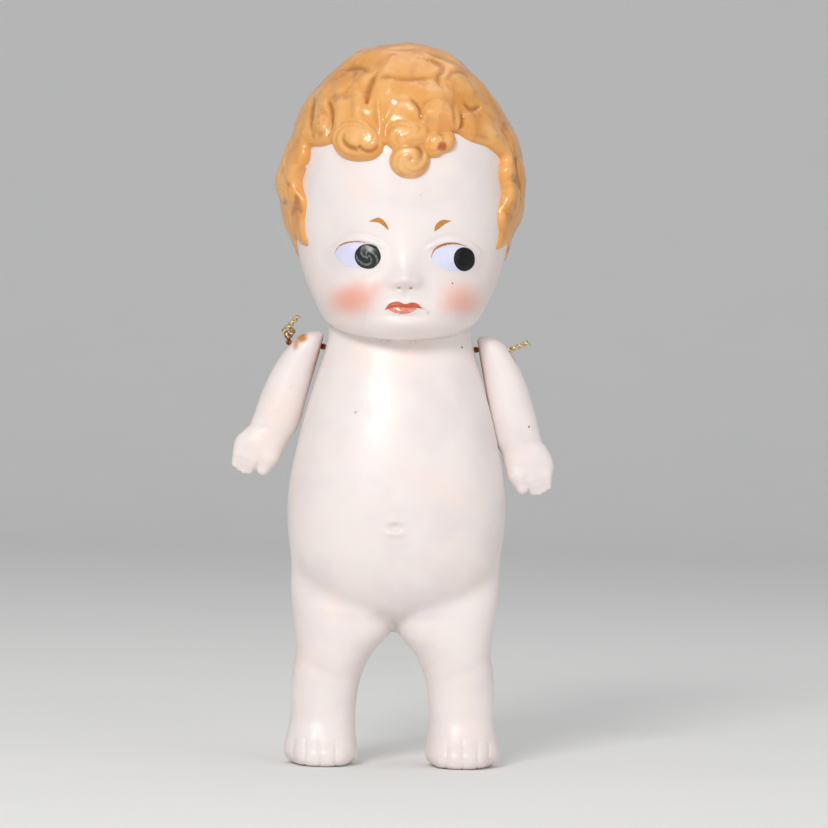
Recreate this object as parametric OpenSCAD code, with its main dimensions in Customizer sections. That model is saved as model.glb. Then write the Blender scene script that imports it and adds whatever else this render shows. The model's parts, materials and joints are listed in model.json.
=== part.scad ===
// Jointed porcelain doll: a hollow bisque figure cast in one piece from crown to soles,
// and two bisque arms hung on a wire of two twisted strands that runs through the shoulders.
// Millimetres. +Z is up, the doll faces -Y, and the origin lies between the soles.
// "Right" and "left" are the doll's own: its right side is at -X.

/* [Figure] */
// Height of the fork of the legs above the soles
fork_h = 25.4; // [21.2:0.2:30.6]
// Height of the trunk, from the fork to the crease under the jaw
trunk_h = 54.6; // [45.4:0.2:65.6]
// Height of the head, from that crease to the crown
head_h = 50; // [41.6:0.2:60]
// Thickness of the bisque wall of the hollow figure
wall = 2.6; // [1.6:0.1:3.2]

/* [Trunk] */
// Width of the trunk just under the jaw
neck_w = 25.2; // [21.6:0.2:31.2]
// Width of the trunk at the belly
belly_w = 39.2; // [32.6:0.2:47.2]
// How far the belly stands in front of the middle plane
belly_front = 15.6; // [13:0.2:18.8]
// How far the small of the back stands behind the middle plane
back_depth = 11; // [9.1:0.1:13.2]

/* [Head] */
// Width of the head over the hair
head_w = 45; // [38:0.5:54]
// Depth of the head over the hair
head_d = 41; // [35:0.5:49.5]
// How far the hair stands off the skull at the temples
hair_t = 3; // [2.5:0.1:3.6]
// Width of the jaw, measured at the cheeks
cheek_w = 34.6; // [28.8:0.2:41.6]
// Angle that the face turns towards the left shoulder
head_turn = 3; // [0:0.5:6]

/* [Legs] */
// Distance between the middles of the two ankles
leg_spacing = 25; // [21:0.2:30]
// Width of a thigh
thigh_w = 17.2; // [14.4:0.2:20.6]
// Width of an ankle
ankle_w = 11.5; // [9.6:0.1:13.8]
// Width of a foot across the toes
foot_w = 13.3; // [11.1:0.1:16]
// Length of a foot from heel to toes
foot_l = 16.6; // [13.8:0.2:20]
// Depth of the grooves between the toes
toe_groove = 0.35; // [0.1:0.05:0.6]

/* [Arms] */
// Height of the shoulder axis below the crease under the jaw
shoulder_drop = 5; // [4.2:0.2:6]
// Gap between an arm's flat inner face and the trunk when the arm is swung right up
arm_gap = 0.1; // [0.1:0.05:1.1]
// Length of the right arm from the shoulder axis to the finger tips
arm_l = 26; // [21.6:0.2:31.2]
// How much longer than the right arm the left casting is, below the shoulder axis
left_extra = 2.4; // [0:0.1:2.9]
// How far the top of the right arm stands over the shoulder axis
right_heel = 2.7; // [2.4:0.1:3.5]
// How far the top of the left arm stands over the shoulder axis
left_heel = 2.2; // [1.8:0.1:2.7]
// Thickness of the upper arm, from its flat inner face to its outside
arm_t = 8; // [6.7:0.1:9.6]
// Front-to-back depth of the upper arm
arm_d = 8; // [6.7:0.1:9.6]
// Angle that the right arm stands off the slope of the trunk's side
right_splay = 1; // [-2.5:0.5:8]
// Angle that the left arm stands off the slope of the trunk's side
left_splay = -2.5; // [-2.5:0.5:8]

/* [Wire] */
// Diameter of each of the two strands
strand_d = 0.46; // [0.38:0.01:0.56]
// Gap between the two strands
strand_gap = 0.04; // [0.02:0.01:0.08]
// Length of one full turn of the twist
twist_pitch = 2.2; // [1.8:0.1:3]
// Radial clearance of the twisted wire in the holes of the trunk and the arms
bore_clear = 0.36; // [0.2:0.02:0.5]
// Length of the straight end that stands out of the left arm
straight_end = 4.2; // [3:0.1:6]
// Angle that this end rises over the wire's line
end_rise = 24; // [0:1:30]
// Radius of the eye curled in the end that stands out of the right arm
curl_r = 1.35; // [1.2:0.05:1.7]

/* [Hidden] */

BISQUE = [0.93, 0.87, 0.86];
RUSTY_WIRE = [0.55, 0.42, 0.30];

neck_z = fork_h + trunk_h;
shoulder_z = neck_z - shoulder_drop;
twist_r = (strand_d + strand_gap) / 2;
pair_r = twist_r + strand_d / 2;
bore_r = pair_r + bore_clear;
// The shoulders lie a little behind the middle plane.
shoulder_y = 1.4;
// Number of points round the trunk and the head, and round a limb
sides = 36;
limb_sides = 24;

// --- Curves through stations, and skins over rings -------------------------------------

// Slope of column c at row i of a station table, whose rows rise in their first column
function slope(t, i, c) =
    let (a = max(i - 1, 0), b = min(i + 1, len(t) - 1))
    (t[b][c] - t[a][c]) / (t[b][0] - t[a][0]);

function first(t) = t[0][0];
function last(t) = t[len(t) - 1][0];

// Row of the table that ends the span holding u
function span_end(t, u, i = 1) = i >= len(t) - 1 || u <= t[i][0] ? i : span_end(t, u, i + 1);

// Value of column c at u, on the smooth cubic through the stations
function at(t, u, c) =
    let (
        i = span_end(t, u),
        h = t[i][0] - t[i - 1][0],
        s = min(max((u - t[i - 1][0]) / h, 0), 1),
        p = t[i - 1][c],
        q = t[i][c]
    )
    p * (1 + 2 * s) * pow(1 - s, 2) + q * s * s * (3 - 2 * s)
    + h * (slope(t, i - 1, c) * s * pow(1 - s, 2) - slope(t, i, c) * s * s * (1 - s));

// Signed power, which squares the corners of an ellipse when p is under 1
function spow(v, p) = sign(v) * pow(abs(v), p);

// Points of one ring about (cx, cy): half width w, reach f to the front (-Y) and b to the back, at height z,
// which rises by `tilt` for each millimetre towards the back; square is 2 on an ellipse, more on a fuller one
function ring(n, cx, cy, z, w, f, b, square = 2.2, tilt = 0) = [
    for (i = [0:n - 1])
        let (
            a = 360 * i / n,
            x = w * spow(cos(a), 2 / square),
            y = (sin(a) < 0 ? f : b) * spow(sin(a), 2 / square)
        )
        [cx + x, cy + y, z + tilt * y]
];

function middle(r) = [for (k = [0:2]) [for (p = r) p[k]] * [for (p = r) 1] / len(r)];

// Closed solid over a list of rings with the same number of points, ordered from the first end to the last
module skin(rings) {
    n = len(rings[0]);
    m = len(rings);
    points = concat([for (r = rings, p = r) p], [middle(rings[0]), middle(rings[m - 1])]);
    walls = [
        for (j = [0:m - 2], i = [0:n - 1], k = [0:1])
            let (a = j * n + i, b = j * n + (i + 1) % n)
            k == 0 ? [a, b + n, b] : [a, a + n, b + n]
    ];
    ends = [
        for (i = [0:n - 1], k = [0:1])
            let (a = i, b = (i + 1) % n, top = (m - 1) * n)
            k == 0 ? [m * n, a, b] : [m * n + 1, top + b, top + a]
    ];
    polyhedron(points = points, faces = concat(walls, ends), convexity = 8);
}

// Heights from lo to hi in n steps, closer together at both ends where a form rounds over
function rounded_steps(lo, hi, n) = [for (i = [0:n]) lo + (hi - lo) * (1 - cos(180 * i / n)) / 2];

// --- Trunk -----------------------------------------------------------------------------

// Height, half width, reach to the front, reach to the back
function trunk_stations(in = 0) = let (w = belly_w / 2, f = belly_front, b = back_depth, n = neck_w / 2) [
    [fork_h - 0.9 + in, 1.5, 1.6, 1.4],
    [fork_h + 0.5 + in, w * 0.26, f * 0.30, b * 0.34],
    [fork_h + trunk_h * 0.05 + in, w * 0.56, f * 0.55, b * 0.66],
    [fork_h + trunk_h * 0.13, w * 0.83 - in, f * 0.78 - in, b * 0.94 - in],
    [fork_h + trunk_h * 0.24, w * 0.965 - in, f * 0.93 - in, b * 1.02 - in],
    [fork_h + trunk_h * 0.41, w - in, f - in, b - in],
    [fork_h + trunk_h * 0.60, w * 0.915 - in, f * 0.91 - in, b * 0.98 - in],
    [fork_h + trunk_h * 0.80, n + (w - n) * 0.35 - in, f * 0.74 - in, b * 0.95 - in],
    [fork_h + trunk_h * 0.91, n + (w - n) * 0.10 - in, f * 0.63 - in, b * 0.88 - in],
    [neck_z, n - in, f * 0.60 - in, b * 0.84 - in],
    [neck_z + 3.5, n - 0.6 - in, f * 0.58 - in, b * 0.80 - in]
];

module trunk(in = 0, n = sides, steps = 24) {
    t = trunk_stations(in);
    skin([
        for (z = rounded_steps(first(t), last(t), steps))
            ring(n, 0, 0, z, at(t, z, 1), at(t, z, 2), at(t, z, 3))
    ]);
}

// --- Head ------------------------------------------------------------------------------

// Height over the jaw crease, half width, reach to the front, reach to the back, tilt of the ring
function skull_stations(in = 0) = let (h = head_h, c = cheek_w / 2, d = head_d / 2, w = head_w / 2 - hair_t) [
    [-1.9 + in, c * 0.40, d * 0.48, d * 0.34, 0.17],
    [-1.2 + in, c * 0.62 - in / 2, d * 0.66 - in / 2, d * 0.46 - in / 2, 0.17],
    [0, c * 0.75 - in, d * 0.74 - in, d * 0.52 - in, 0.17],
    [h * 0.06, c * 0.85 - in, d * 0.825 - in, d * 0.62 - in, 0.15],
    [h * 0.13, c * 0.96 - in, d * 0.865 - in, d * 0.73 - in, 0.11],
    [h * 0.24, (c + w) / 2 - in, d * 0.87 - in, d * 0.87 - in, 0.05],
    [h * 0.36, w - in, d * 0.885 - in, d * 0.94 - in, 0],
    [h * 0.50, w * 1.005 - in, d * 0.91 - in, d * 0.955 - in, 0],
    [h * 0.64, w * 0.965 - in, d * 0.875 - in, d * 0.92 - in, 0],
    [h * 0.78, w * 0.80 - in, d * 0.72 - in, d * 0.77 - in, 0],
    [h * 0.90, w * 0.54 - in, d * 0.49 - in, d * 0.52 - in, 0],
    [h - 1.4 - in, 1.5, 1.5, 1.5, 0]
];

function hair_stations() = let (h = head_h, w = head_w / 2, d = head_d / 2) [
    [h * 0.10, w * 0.62, d * 0.30, d * 0.66],
    [h * 0.16, w * 0.74, d * 0.40, d * 0.80],
    [h * 0.27, w * 0.86, d * 0.70, d * 0.94],
    [h * 0.37, w * 0.94, d * 0.92, d * 0.99],
    [h * 0.48, w, d * 0.99, d],
    [h * 0.60, w * 0.955, d * 0.985, d * 0.985],
    [h * 0.72, w * 0.87, d * 0.89, d * 0.90],
    [h * 0.82, w * 0.735, d * 0.75, d * 0.76],
    [h * 0.91, w * 0.56, d * 0.57, d * 0.57],
    [h * 0.97, w * 0.365, d * 0.37, d * 0.37],
    [h, 0.8, 0.8, 0.8]
];

module skull(in = 0, n = sides, steps = 20) {
    t = skull_stations(in);
    skin([
        for (z = rounded_steps(first(t), last(t), steps))
            ring(n, 0, 0, z, at(t, z, 1), at(t, z, 2), at(t, z, 3), 2.15, at(t, z, 4))
    ]);
}

// A lock of hair curled into a flat eye on the fringe
module ringlet(x, z, r) {
    y = -head_d / 2 * sqrt(1 - pow(x / (head_w / 2), 2)) * 0.90;
    translate([x, y, z]) rotate([90, 0, 0]) {
        rotate_extrude($fn = 48) translate([r * 0.6, 0]) circle(r * 0.42, $fn = 24);
        sphere(r * 0.45, $fn = 24);
    }
}

module hair() {
    face_w = head_w - 2 * hair_t - 0.6;
    t = hair_stations();
    difference() {
        skin([
            for (z = rounded_steps(first(t), last(t), 18))
                ring(sides, 0, 0, z, at(t, z, 1), at(t, z, 2), at(t, z, 3), 2.1)
        ]);
        // The face stays clear of hair below the fringe, and the cut ends at the temples.
        translate([-face_w / 2, -head_d, 0]) cube([face_w, head_d * 0.96, head_h * 0.615]);
    }
    ringlet(0.4, head_h * 0.575, 3.6);
    ringlet(-9.5, head_h * 0.625, 4.2);
    ringlet(6.8, head_h * 0.615, 2.7);
}

module head_pose() {
    translate([0, 0, neck_z]) rotate([0, 0, head_turn]) children();
}

module head() {
    head_pose() {
        skull();
        hair();
        translate([0, -head_d / 2 * 0.865, head_h * 0.15]) sphere(1.7, $fn = 32);
    }
}

// --- Legs ------------------------------------------------------------------------------

// Height, distance out from the middle, half width, reach to the front, reach to the back
function leg_stations() =
    let (a = ankle_w / 2, f = foot_w / 2, t = thigh_w / 2, s = leg_spacing / 2, l = foot_l) [
    [0, s + 0.2, f - 1.9, l * 0.50, l * 0.33],
    [0.6, s + 0.2, f - 0.9, l * 0.56, l * 0.37],
    [1.6, s + 0.2, f - 0.2, l * 0.595, l * 0.395],
    [3, s + 0.2, f, l * 0.59, l * 0.40],
    [fork_h * 0.22, s + 0.2, f - 0.4, l * 0.45, l * 0.40],
    [fork_h * 0.35, s, a, l * 0.34, l * 0.375],
    [fork_h * 0.50, s - 0.2, a + 0.1, l * 0.34, l * 0.38],
    [fork_h * 0.65, s - 0.7, a + 0.45, l * 0.40, l * 0.38],
    [fork_h * 0.80, s - 1.9, (a + t) / 2 - 0.3, l * 0.45, l * 0.42],
    [fork_h * 0.94, s - 2.7, t - 0.6, l * 0.48, l * 0.50],
    [fork_h * 1.12, s - 2.7, t, l * 0.46, l * 0.60],
    [fork_h * 1.32, s - 2.6, t + 0.1, l * 0.30, l * 0.64],
    [fork_h * 1.55, s - 2.9, t - 1.2, l * 0.16, l * 0.50],
    [fork_h * 1.75, s - 3.5, t - 3.4, l * 0.06, l * 0.30]
];

// side is -1 for the right leg and 1 for the left
module leg(side) {
    t = leg_stations();
    toes_y = -foot_l * 0.6;
    groove_r = 0.8;
    difference() {
        skin([
            for (z = concat([0, 0.25, 0.6, 1.1, 1.6, 2.3], rounded_steps(3, last(t), 16)))
                ring(limb_sides, side * at(t, z, 1), 0, z, at(t, z, 2), at(t, z, 3), at(t, z, 4), 2.4)
        ]);
        // Four grooves part five toes.
        for (i = [-1.5:1:1.5]) {
            x = side * (leg_spacing / 2 + 0.2) + i * foot_w * 0.2;
            y = toes_y - groove_r + toe_groove + i * i * 0.3;
            translate([x, y, -1]) cylinder(r = groove_r, h = 5, $fn = 24);
        }
    }
}

// --- Figure ----------------------------------------------------------------------------

// Distance of the trunk's side from the middle plane, where the wire goes through
side_w = at(trunk_stations(), shoulder_z, 1);

// Slope of the trunk's side beside the arm, from the plumb line
side_slope = atan((at(trunk_stations(), shoulder_z - arm_l * 0.54, 1) - side_w) / (arm_l * 0.54));

// An arm's flat face leans as the trunk's side does, so a steeper side holds its joint farther out.
flat_out = side_w + arm_gap + arm_d * 0.31 * tan(side_slope);

// Carries a piece from the frame of a shoulder joint to the figure's. In that frame +X points outwards
// along the wire and -Z runs down to the hand. side is -1 for right and 1 for left.
module shoulder(side) {
    translate([side * flat_out, shoulder_y, shoulder_z]) mirror([side < 0 ? 1 : 0, 0, 0]) children();
}

module figure() {
    thigh_hollow_r = thigh_w / 2 - wall - 0.4;
    color(BISQUE) difference() {
        union() {
            trunk();
            head();
            leg(-1);
            leg(1);
        }
        trunk(wall, 24, 14);
        head_pose() skull(wall, 24, 12);
        // The hollow reaches down into both thighs.
        for (side = [-1, 1])
            translate([side * (leg_spacing / 2 - 2.2), 0.6, fork_h * 0.9]) {
                sphere(thigh_hollow_r, $fn = 32);
                cylinder(r = thigh_hollow_r, h = fork_h * 0.3, $fn = 32);
            }
        // One straight hole takes the wire through both shoulders.
        translate([-neck_w, shoulder_y, shoulder_z])
            rotate([0, 90, 0]) cylinder(r = bore_r, h = 2 * neck_w, $fn = 48);
    }
}

// --- Arms ------------------------------------------------------------------------------

// Distance down the arm from the joint's axis, offset of the middle outwards and to the back,
// half thickness, half depth
function arm_stations(l, heel) = let (t = arm_t / 2, d = arm_d / 2) [
    [-heel, t * 0.49, 0, t * 0.12, d * 0.12],
    [-heel * 0.84, t * 0.50, 0, t * 0.34, d * 0.50],
    [-heel * 0.45, t * 0.57, 0, t * 0.54, d * 0.84],
    [l * 0.02, t * 0.66, 0, t * 0.67, d * 0.97],
    [l * 0.16, t * 0.86, 0.1, t * 0.86, d * 1.02],
    [l * 0.32, t * 0.98, 0, t * 0.98, d],
    [l * 0.48, t * 1.01, -0.3, t, d * 0.93],
    [l * 0.61, t * 1.14, -0.6, t, d * 0.80],
    [l * 0.71, t * 1.38, -0.8, t * 1.10, d * 0.72],
    [l * 0.81, t * 1.47, -0.9, t * 1.10, d * 0.70],
    [l * 0.90, t * 1.50, -1.0, t * 0.98, d * 0.60],
    [l * 0.965, t * 1.46, -1.1, t * 0.72, d * 0.45],
    [l, t * 1.45, -1.1, t * 0.2, d * 0.15]
];

// An arm in the frame of its own joint; its mirror image is the right arm
module arm_shape(l, heel, splay) {
    t = arm_stations(l, heel);
    difference() {
        rotate([0, -side_slope - splay, 0]) difference() {
            union() {
                skin([
                    for (s = rounded_steps(last(t), first(t), 20))
                        let (depth = at(t, s, 4))
                        ring(limb_sides, at(t, s, 1), at(t, s, 2), -s, at(t, s, 3), depth, depth, 2.1)
                ]);
                // Thumb, on the side of the hand that faces the trunk
                hull() {
                    translate([arm_t * 0.42, -1, -l * 0.78]) sphere(arm_t * 0.24, $fn = 24);
                    translate([arm_t * 0.33, -1.6, -l * 0.86]) sphere(arm_t * 0.19, $fn = 24);
                }
            }
            // The flat face that turns beside the trunk
            translate([-arm_t, -arm_d, -l * 0.5]) cube([arm_t, 2 * arm_d, l]);
            // The notch between the thumb and the fingers
            translate([arm_t * 0.55, arm_d, -l * 0.96])
                rotate([90, 0, 0]) cylinder(r = arm_t * 0.11, h = 2 * arm_d, $fn = 24);
            // Three grooves part four fingers on the back of the hand.
            for (i = [-1:1])
                translate([arm_t * (0.93 + i * 0.14), -1 - arm_d * 0.36, -l - 1])
                    cylinder(r = 0.42, h = l * 0.22, $fn = 24);
        }
        translate([-arm_t, 0, 0]) rotate([0, 90, 0]) cylinder(r = bore_r, h = 3 * arm_t, $fn = 48);
    }
}

module right_arm() {
    color(BISQUE) shoulder(-1) arm_shape(arm_l, right_heel, right_splay);
}

module left_arm() {
    color(BISQUE) shoulder(1) arm_shape(arm_l + left_extra, left_heel, left_splay);
}

// --- Wire ------------------------------------------------------------------------------

// Where the wire begins to bend, a little inside the mouth of an arm's hole, measured from the flat face
exit_out = let (lean = side_slope + max(right_splay, left_splay), flare = arm_t * 0.195 / (arm_l * 0.14))
    0.9 * arm_t * 0.637 / (cos(lean) - flare * sin(lean));

// Point of the wire beyond a shoulder: `out` from where it leaves the arm, `up` over the axis and `fwd` in
// front of it
function past_arm(side, out, up, fwd = 0) =
    [side * (flat_out + exit_out + out), shoulder_y - fwd, shoulder_z + up];

// Height of the curl's middle over the axis, and how far it winds forward in a turn, so that its turns
// lie clear of each other
curl_up = curl_r + pair_r + 1.2;
curl_pitch = 2 * pair_r + 0.14;

// Route of the wire's middle: its tip at the right, the curled eye, straight through both shoulders, and
// the bent end at the left
wire_route = concat(
    [past_arm(-1, -1.2, curl_up + 3, 1.6 * curl_pitch)],
    [
        for (a = [440:-30:-70])
            past_arm(-1, 0.6 + curl_r * cos(a), curl_up + curl_r * sin(a), curl_pitch * (a + 70) / 360)
    ],
    [past_arm(-1, 0.4, 0.35), past_arm(-1, -0.4, 0), past_arm(-1, -2, 0)],
    [for (i = [-3:3]) [i * neck_w / 8, shoulder_y, shoulder_z]],
    [past_arm(1, -2, 0), past_arm(1, -0.2, 0), past_arm(1, 0.6, 0.12)],
    [
        for (d = [(straight_end - 0.6) / 2, straight_end - 0.6])
            past_arm(1, 0.6 + d * cos(end_rise), 0.12 + d * sin(end_rise))
    ]
);

// Point at share s of span i of a path, on the smooth curve through its points
function smooth(p, i, s) =
    let (a = p[max(i - 1, 0)], b = p[i], c = p[i + 1], d = p[min(i + 2, len(p) - 1)])
    b + s * (c - a) / 2 + s * s * (a - 2.5 * b + 2 * c - d / 2) + s * s * s * (-a + 3 * b - 3 * c + d) / 2;

// The smooth curve through a path, in k_steps steps to a span
function smooth_path(p, k_steps) =
    concat([for (i = [0:len(p) - 2], k = [0:k_steps - 1]) smooth(p, i, k / k_steps)], [p[len(p) - 1]]);

// Distance run along a path up to each of its points
function run(p, i = 0, sum = 0) =
    i >= len(p) ? [] : concat([sum], run(p, i + 1, sum + (i < len(p) - 1 ? norm(p[i + 1] - p[i]) : 0)));

// Index of the last point of a path before distance s, where d is the distance run up to each point
function index_at(d, s, lo, hi) =
    let (m = floor((lo + hi) / 2))
    hi - lo <= 1 ? lo : d[m] <= s ? index_at(d, s, m, hi) : index_at(d, s, lo, m);

// The path resampled at n even steps
function even(p, d, n) = [
    for (i = [0:n])
        let (s = d[len(d) - 1] * i / n, k = min(index_at(d, s, 0, len(d) - 1), len(p) - 2))
        p[k] + (p[k + 1] - p[k]) * min(1, (s - d[k]) / (d[k + 1] - d[k]))
];

// One strand of the twist, wound about the route at the given start angle
module strand(start) {
    fine = smooth_path(wire_route, 8);
    d = run(fine);
    total = d[len(d) - 1];
    n = round(total / twist_pitch * 8);
    mid = even(fine, d, n);
    skin([
        for (i = [0:n])
            let (
                t = mid[min(i + 1, n)] - mid[max(i - 1, 0)],
                along = t / norm(t),
                side = cross(along, [0, 1, 0]) / norm(cross(along, [0, 1, 0])),
                up = cross(along, side),
                s = total * i / n,
                a = start + 360 * s / twist_pitch,
                fray = 1 + 0.8 * max(0, 1 - min(s, total - s) / 0.9),
                centre = mid[i] + fray * twist_r * (cos(a) * side + sin(a) * up)
            )
            [for (k = [0:5]) centre + strand_d / 2 * (cos(60 * k) * side + sin(60 * k) * up)]
    ]);
}

module wire_strand_a() {
    color(RUSTY_WIRE) strand(0);
}

module wire_strand_b() {
    color(RUSTY_WIRE) strand(180);
}

figure();
right_arm();
left_arm();
wire_strand_a();
wire_strand_b();
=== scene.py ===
"""An old all-bisque doll: a hollow casting with moulded, glazed hair and a painted face, and two
arms that turn on a rusted pair of twisted wires.

Every skin is the zero level of a distance field, in millimetres, that is negative inside. A coarse
net is laid over it, split where the shape needs more, and settled on the field. Paint is laid on
as thin domed patches, or kept as attributes that the finishes read.
"""

import json
import logging
import math
from dataclasses import dataclass, field
from enum import Enum
from typing import Callable

import bpy
import numpy as np
from mathutils import Matrix, Vector

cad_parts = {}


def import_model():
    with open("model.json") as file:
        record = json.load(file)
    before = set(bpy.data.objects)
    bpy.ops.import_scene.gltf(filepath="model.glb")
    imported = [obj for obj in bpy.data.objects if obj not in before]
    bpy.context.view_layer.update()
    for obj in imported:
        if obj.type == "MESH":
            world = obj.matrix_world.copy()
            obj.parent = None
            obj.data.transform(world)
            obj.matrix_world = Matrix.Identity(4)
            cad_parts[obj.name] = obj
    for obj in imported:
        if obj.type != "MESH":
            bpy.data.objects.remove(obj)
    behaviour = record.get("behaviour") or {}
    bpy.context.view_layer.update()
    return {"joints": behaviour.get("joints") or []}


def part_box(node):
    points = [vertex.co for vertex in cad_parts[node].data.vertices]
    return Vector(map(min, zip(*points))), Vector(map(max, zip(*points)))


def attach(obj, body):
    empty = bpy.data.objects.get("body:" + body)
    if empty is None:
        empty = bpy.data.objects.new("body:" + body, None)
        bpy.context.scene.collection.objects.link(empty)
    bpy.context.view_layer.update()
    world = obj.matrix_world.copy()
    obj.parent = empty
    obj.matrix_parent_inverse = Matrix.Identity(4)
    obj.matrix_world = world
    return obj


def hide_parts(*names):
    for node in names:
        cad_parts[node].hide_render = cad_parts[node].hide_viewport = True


log = logging.getLogger("doll")
MM = 0.001
GOLDEN_TURN = 2.399963
BELOW = -9.0
Array = np.ndarray
FieldOf = Callable[[Array], Array]


class Side(Enum):
    """The doll's own right, at -X, or left, at +X."""

    RIGHT = -1
    LEFT = 1


# --- Small mathematics ------------------------------------------------------------------


def smooth_min(a: Array, b: Array, k: float) -> Array:
    """Lower of a and b, rounded over where they are within k of each other.

    Args:
        a: First distances.
        b: Second distances.
        k: Width of the blend.

    Returns:
        b + (a - b) h - k h (1 - h), with h = 1/2 + (b - a) / 2k held to 0..1.
    """
    h = np.clip(0.5 + 0.5 * (b - a) / k, 0.0, 1.0)
    return b + (a - b) * h - k * h * (1.0 - h)


def smooth_max(a: Array, b: Array, k: float) -> Array:
    """Higher of a and b, rounded over: minus the smooth_min of their negatives."""
    return -smooth_min(-a, -b, k)


def smooth_step(low: float, high: float, x: Array) -> Array:
    """0 below low, 1 above high and t^2 (3 - 2 t) between, where t runs from 0 to 1."""
    t = np.clip((x - low) / (high - low), 0.0, 1.0)
    return t * t * (3.0 - 2.0 * t)


def bump(dx: Array, dz: Array, rx: float, rz: float) -> Array:
    """A soft hill exp(-(dx/rx)^2 - (dz/rz)^2), 1 at its middle."""
    return np.exp(-((dx / rx) ** 2) - (dz / rz) ** 2)


def curve(knots: Array, x: Array) -> Array:
    """Smooth curve through knots.

    Args:
        knots: Rows of place, then values, with the places rising.
        x: Places to read.

    Returns:
        For each x, the values on the cubic whose slope at a knot is that of the line between
        the knots on its two sides.
    """
    u, v = knots[:, 0], knots[:, 1:]
    i = np.clip(np.searchsorted(u, x) - 1, 0, len(u) - 2)
    slope = np.gradient(v, axis=0) / np.gradient(u)[:, None]
    h = (u[i + 1] - u[i])[:, None]
    s = np.clip((x[:, None] - u[i][:, None]) / h, 0.0, 1.0)
    a, b = v[i], v[i + 1]
    return (
        a * (1 + 2 * s) * (1 - s) ** 2
        + b * s * s * (3 - 2 * s)
        + h * s * (1 - s) * (slope[i] * (1 - s) - slope[i + 1] * s)
    )


class Noise:
    """Smooth seeded noise in space: random values at whole points, eased between them."""

    def __init__(self, seed: int, size: int = 24) -> None:
        """Args:
            seed: Seed of the random values.
            size: Number of values along each edge of the block, which then repeats.
        """
        self.values = np.random.default_rng(seed).uniform(-1, 1, (size, size, size))
        self.size = size

    def __call__(self, p: Array) -> Array:
        """Args:
            p: Points, in units of the noise's own spacing.

        Returns:
            Values from -1 to 1.
        """
        whole = np.floor(p).astype(int)
        t = p - whole
        t = t * t * (3 - 2 * t)
        total = np.zeros(len(p))
        for corner in range(8):
            d = np.array([corner & 1, corner >> 1 & 1, corner >> 2 & 1])
            weight = np.prod(np.where(d, t, 1 - t), axis=1)
            n = (whole + d) % self.size
            total += weight * self.values[n[:, 0], n[:, 1], n[:, 2]]
        return total


# --- Nets over fields -------------------------------------------------------------------


@dataclass
class Net:
    """A mesh of triangles: points in millimetres, and faces wound to look outwards."""

    points: Array
    faces: Array

    def outward(self) -> "Net":
        """The same closed net with its faces turned outwards: the sum of a . (b x c) over its
        triangles is six times its volume, and is positive when they look outwards."""
        a, b, c = (self.points[self.faces[:, k]] for k in range(3))
        volume = np.einsum("ij,ij->i", a, np.cross(b, c)).sum()
        return self if volume > 0 else Net(self.points, self.faces[:, ::-1])


def net_over(inside: FieldOf, low: Array, high: Array, step: float) -> Net:
    """Lays a coarse net over the zero level of a field.

    Each cell of a grid that the level passes through gets one point, the mean of the places
    where it crosses the cell's edges. Each crossed edge gets a square between its four cells.

    Args:
        inside: The field.
        low: Lowest corner of the grid.
        high: Highest corner.
        step: Size of a cell.

    Returns:
        The net.
    """
    axes = [np.arange(low[k], high[k] + step, step) for k in range(3)]
    shape = tuple(len(a) for a in axes)
    grid = np.stack(np.meshgrid(*axes, indexing="ij"), -1).reshape(-1, 3)
    value = inside(grid).reshape(shape)
    cells = tuple(n - 1 for n in shape)
    total, count = np.zeros((*cells, 3)), np.zeros(cells)
    squares = []
    number = np.arange(np.prod(cells)).reshape(cells)
    for axis in range(3):
        a = np.moveaxis(value, axis, 0)
        crossed = (a[:-1] < 0) != (a[1:] < 0)
        i, j, k = np.nonzero(crossed)
        t = a[i, j, k] / (a[i, j, k] - a[i + 1, j, k])
        place = np.zeros((len(i), 3))
        u, v = [m for m in range(3) if m != axis]
        place[:, axis], place[:, u], place[:, v] = i + t, j, k
        keep = (j > 0) & (k > 0) & (j < shape[u] - 1) & (k < shape[v] - 1)
        i, j, k, place = i[keep], j[keep], k[keep], place[keep]
        ring = []
        for du, dv in ((-1, -1), (0, -1), (0, 0), (-1, 0)):
            c = np.zeros((len(i), 3), int)
            c[:, axis], c[:, u], c[:, v] = i, j + du, k + dv
            np.add.at(total, tuple(c.T), place)
            np.add.at(count, tuple(c.T), 1)
            ring.append(number[tuple(c.T)])
        square = np.stack(ring, 1)
        leaves = (a[i, j, k] < 0) == (axis != 1)
        squares.append(np.where(leaves[:, None], square, square[:, ::-1]))
    square = np.concatenate(squares)
    used, square = np.unique(square, return_inverse=True)
    square = square.reshape(-1, 4)
    points = total.reshape(-1, 3)[used] / count.reshape(-1)[used][:, None] * step + np.array(low)
    return Net(points, np.concatenate([square[:, [0, 1, 2]], square[:, [0, 2, 3]]]))


def gradient(inside: FieldOf, p: Array, value: Array, reach: float = 0.02) -> Array:
    """Slope of a field at p by forward differences over `reach`, where it has this value."""
    shifted = [inside(p + reach * np.eye(3)[k]) for k in range(3)]
    return (np.stack(shifted, 1) - value[:, None]) / reach


def settle(points: Array, inside: FieldOf, rounds: int, most: float = 0.8) -> Array:
    """Moves points on to the zero level by Newton's steps, p - F g / |g|^2, each held to `most`."""
    for _ in range(rounds):
        value = inside(points)
        g = gradient(inside, points, value)
        step = value[:, None] * g / np.maximum((g * g).sum(1), 0.05)[:, None]
        size = np.linalg.norm(step, axis=1)[:, None]
        points = points - step * np.minimum(1.0, most / np.maximum(size, 1e-9))
    return points


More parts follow.
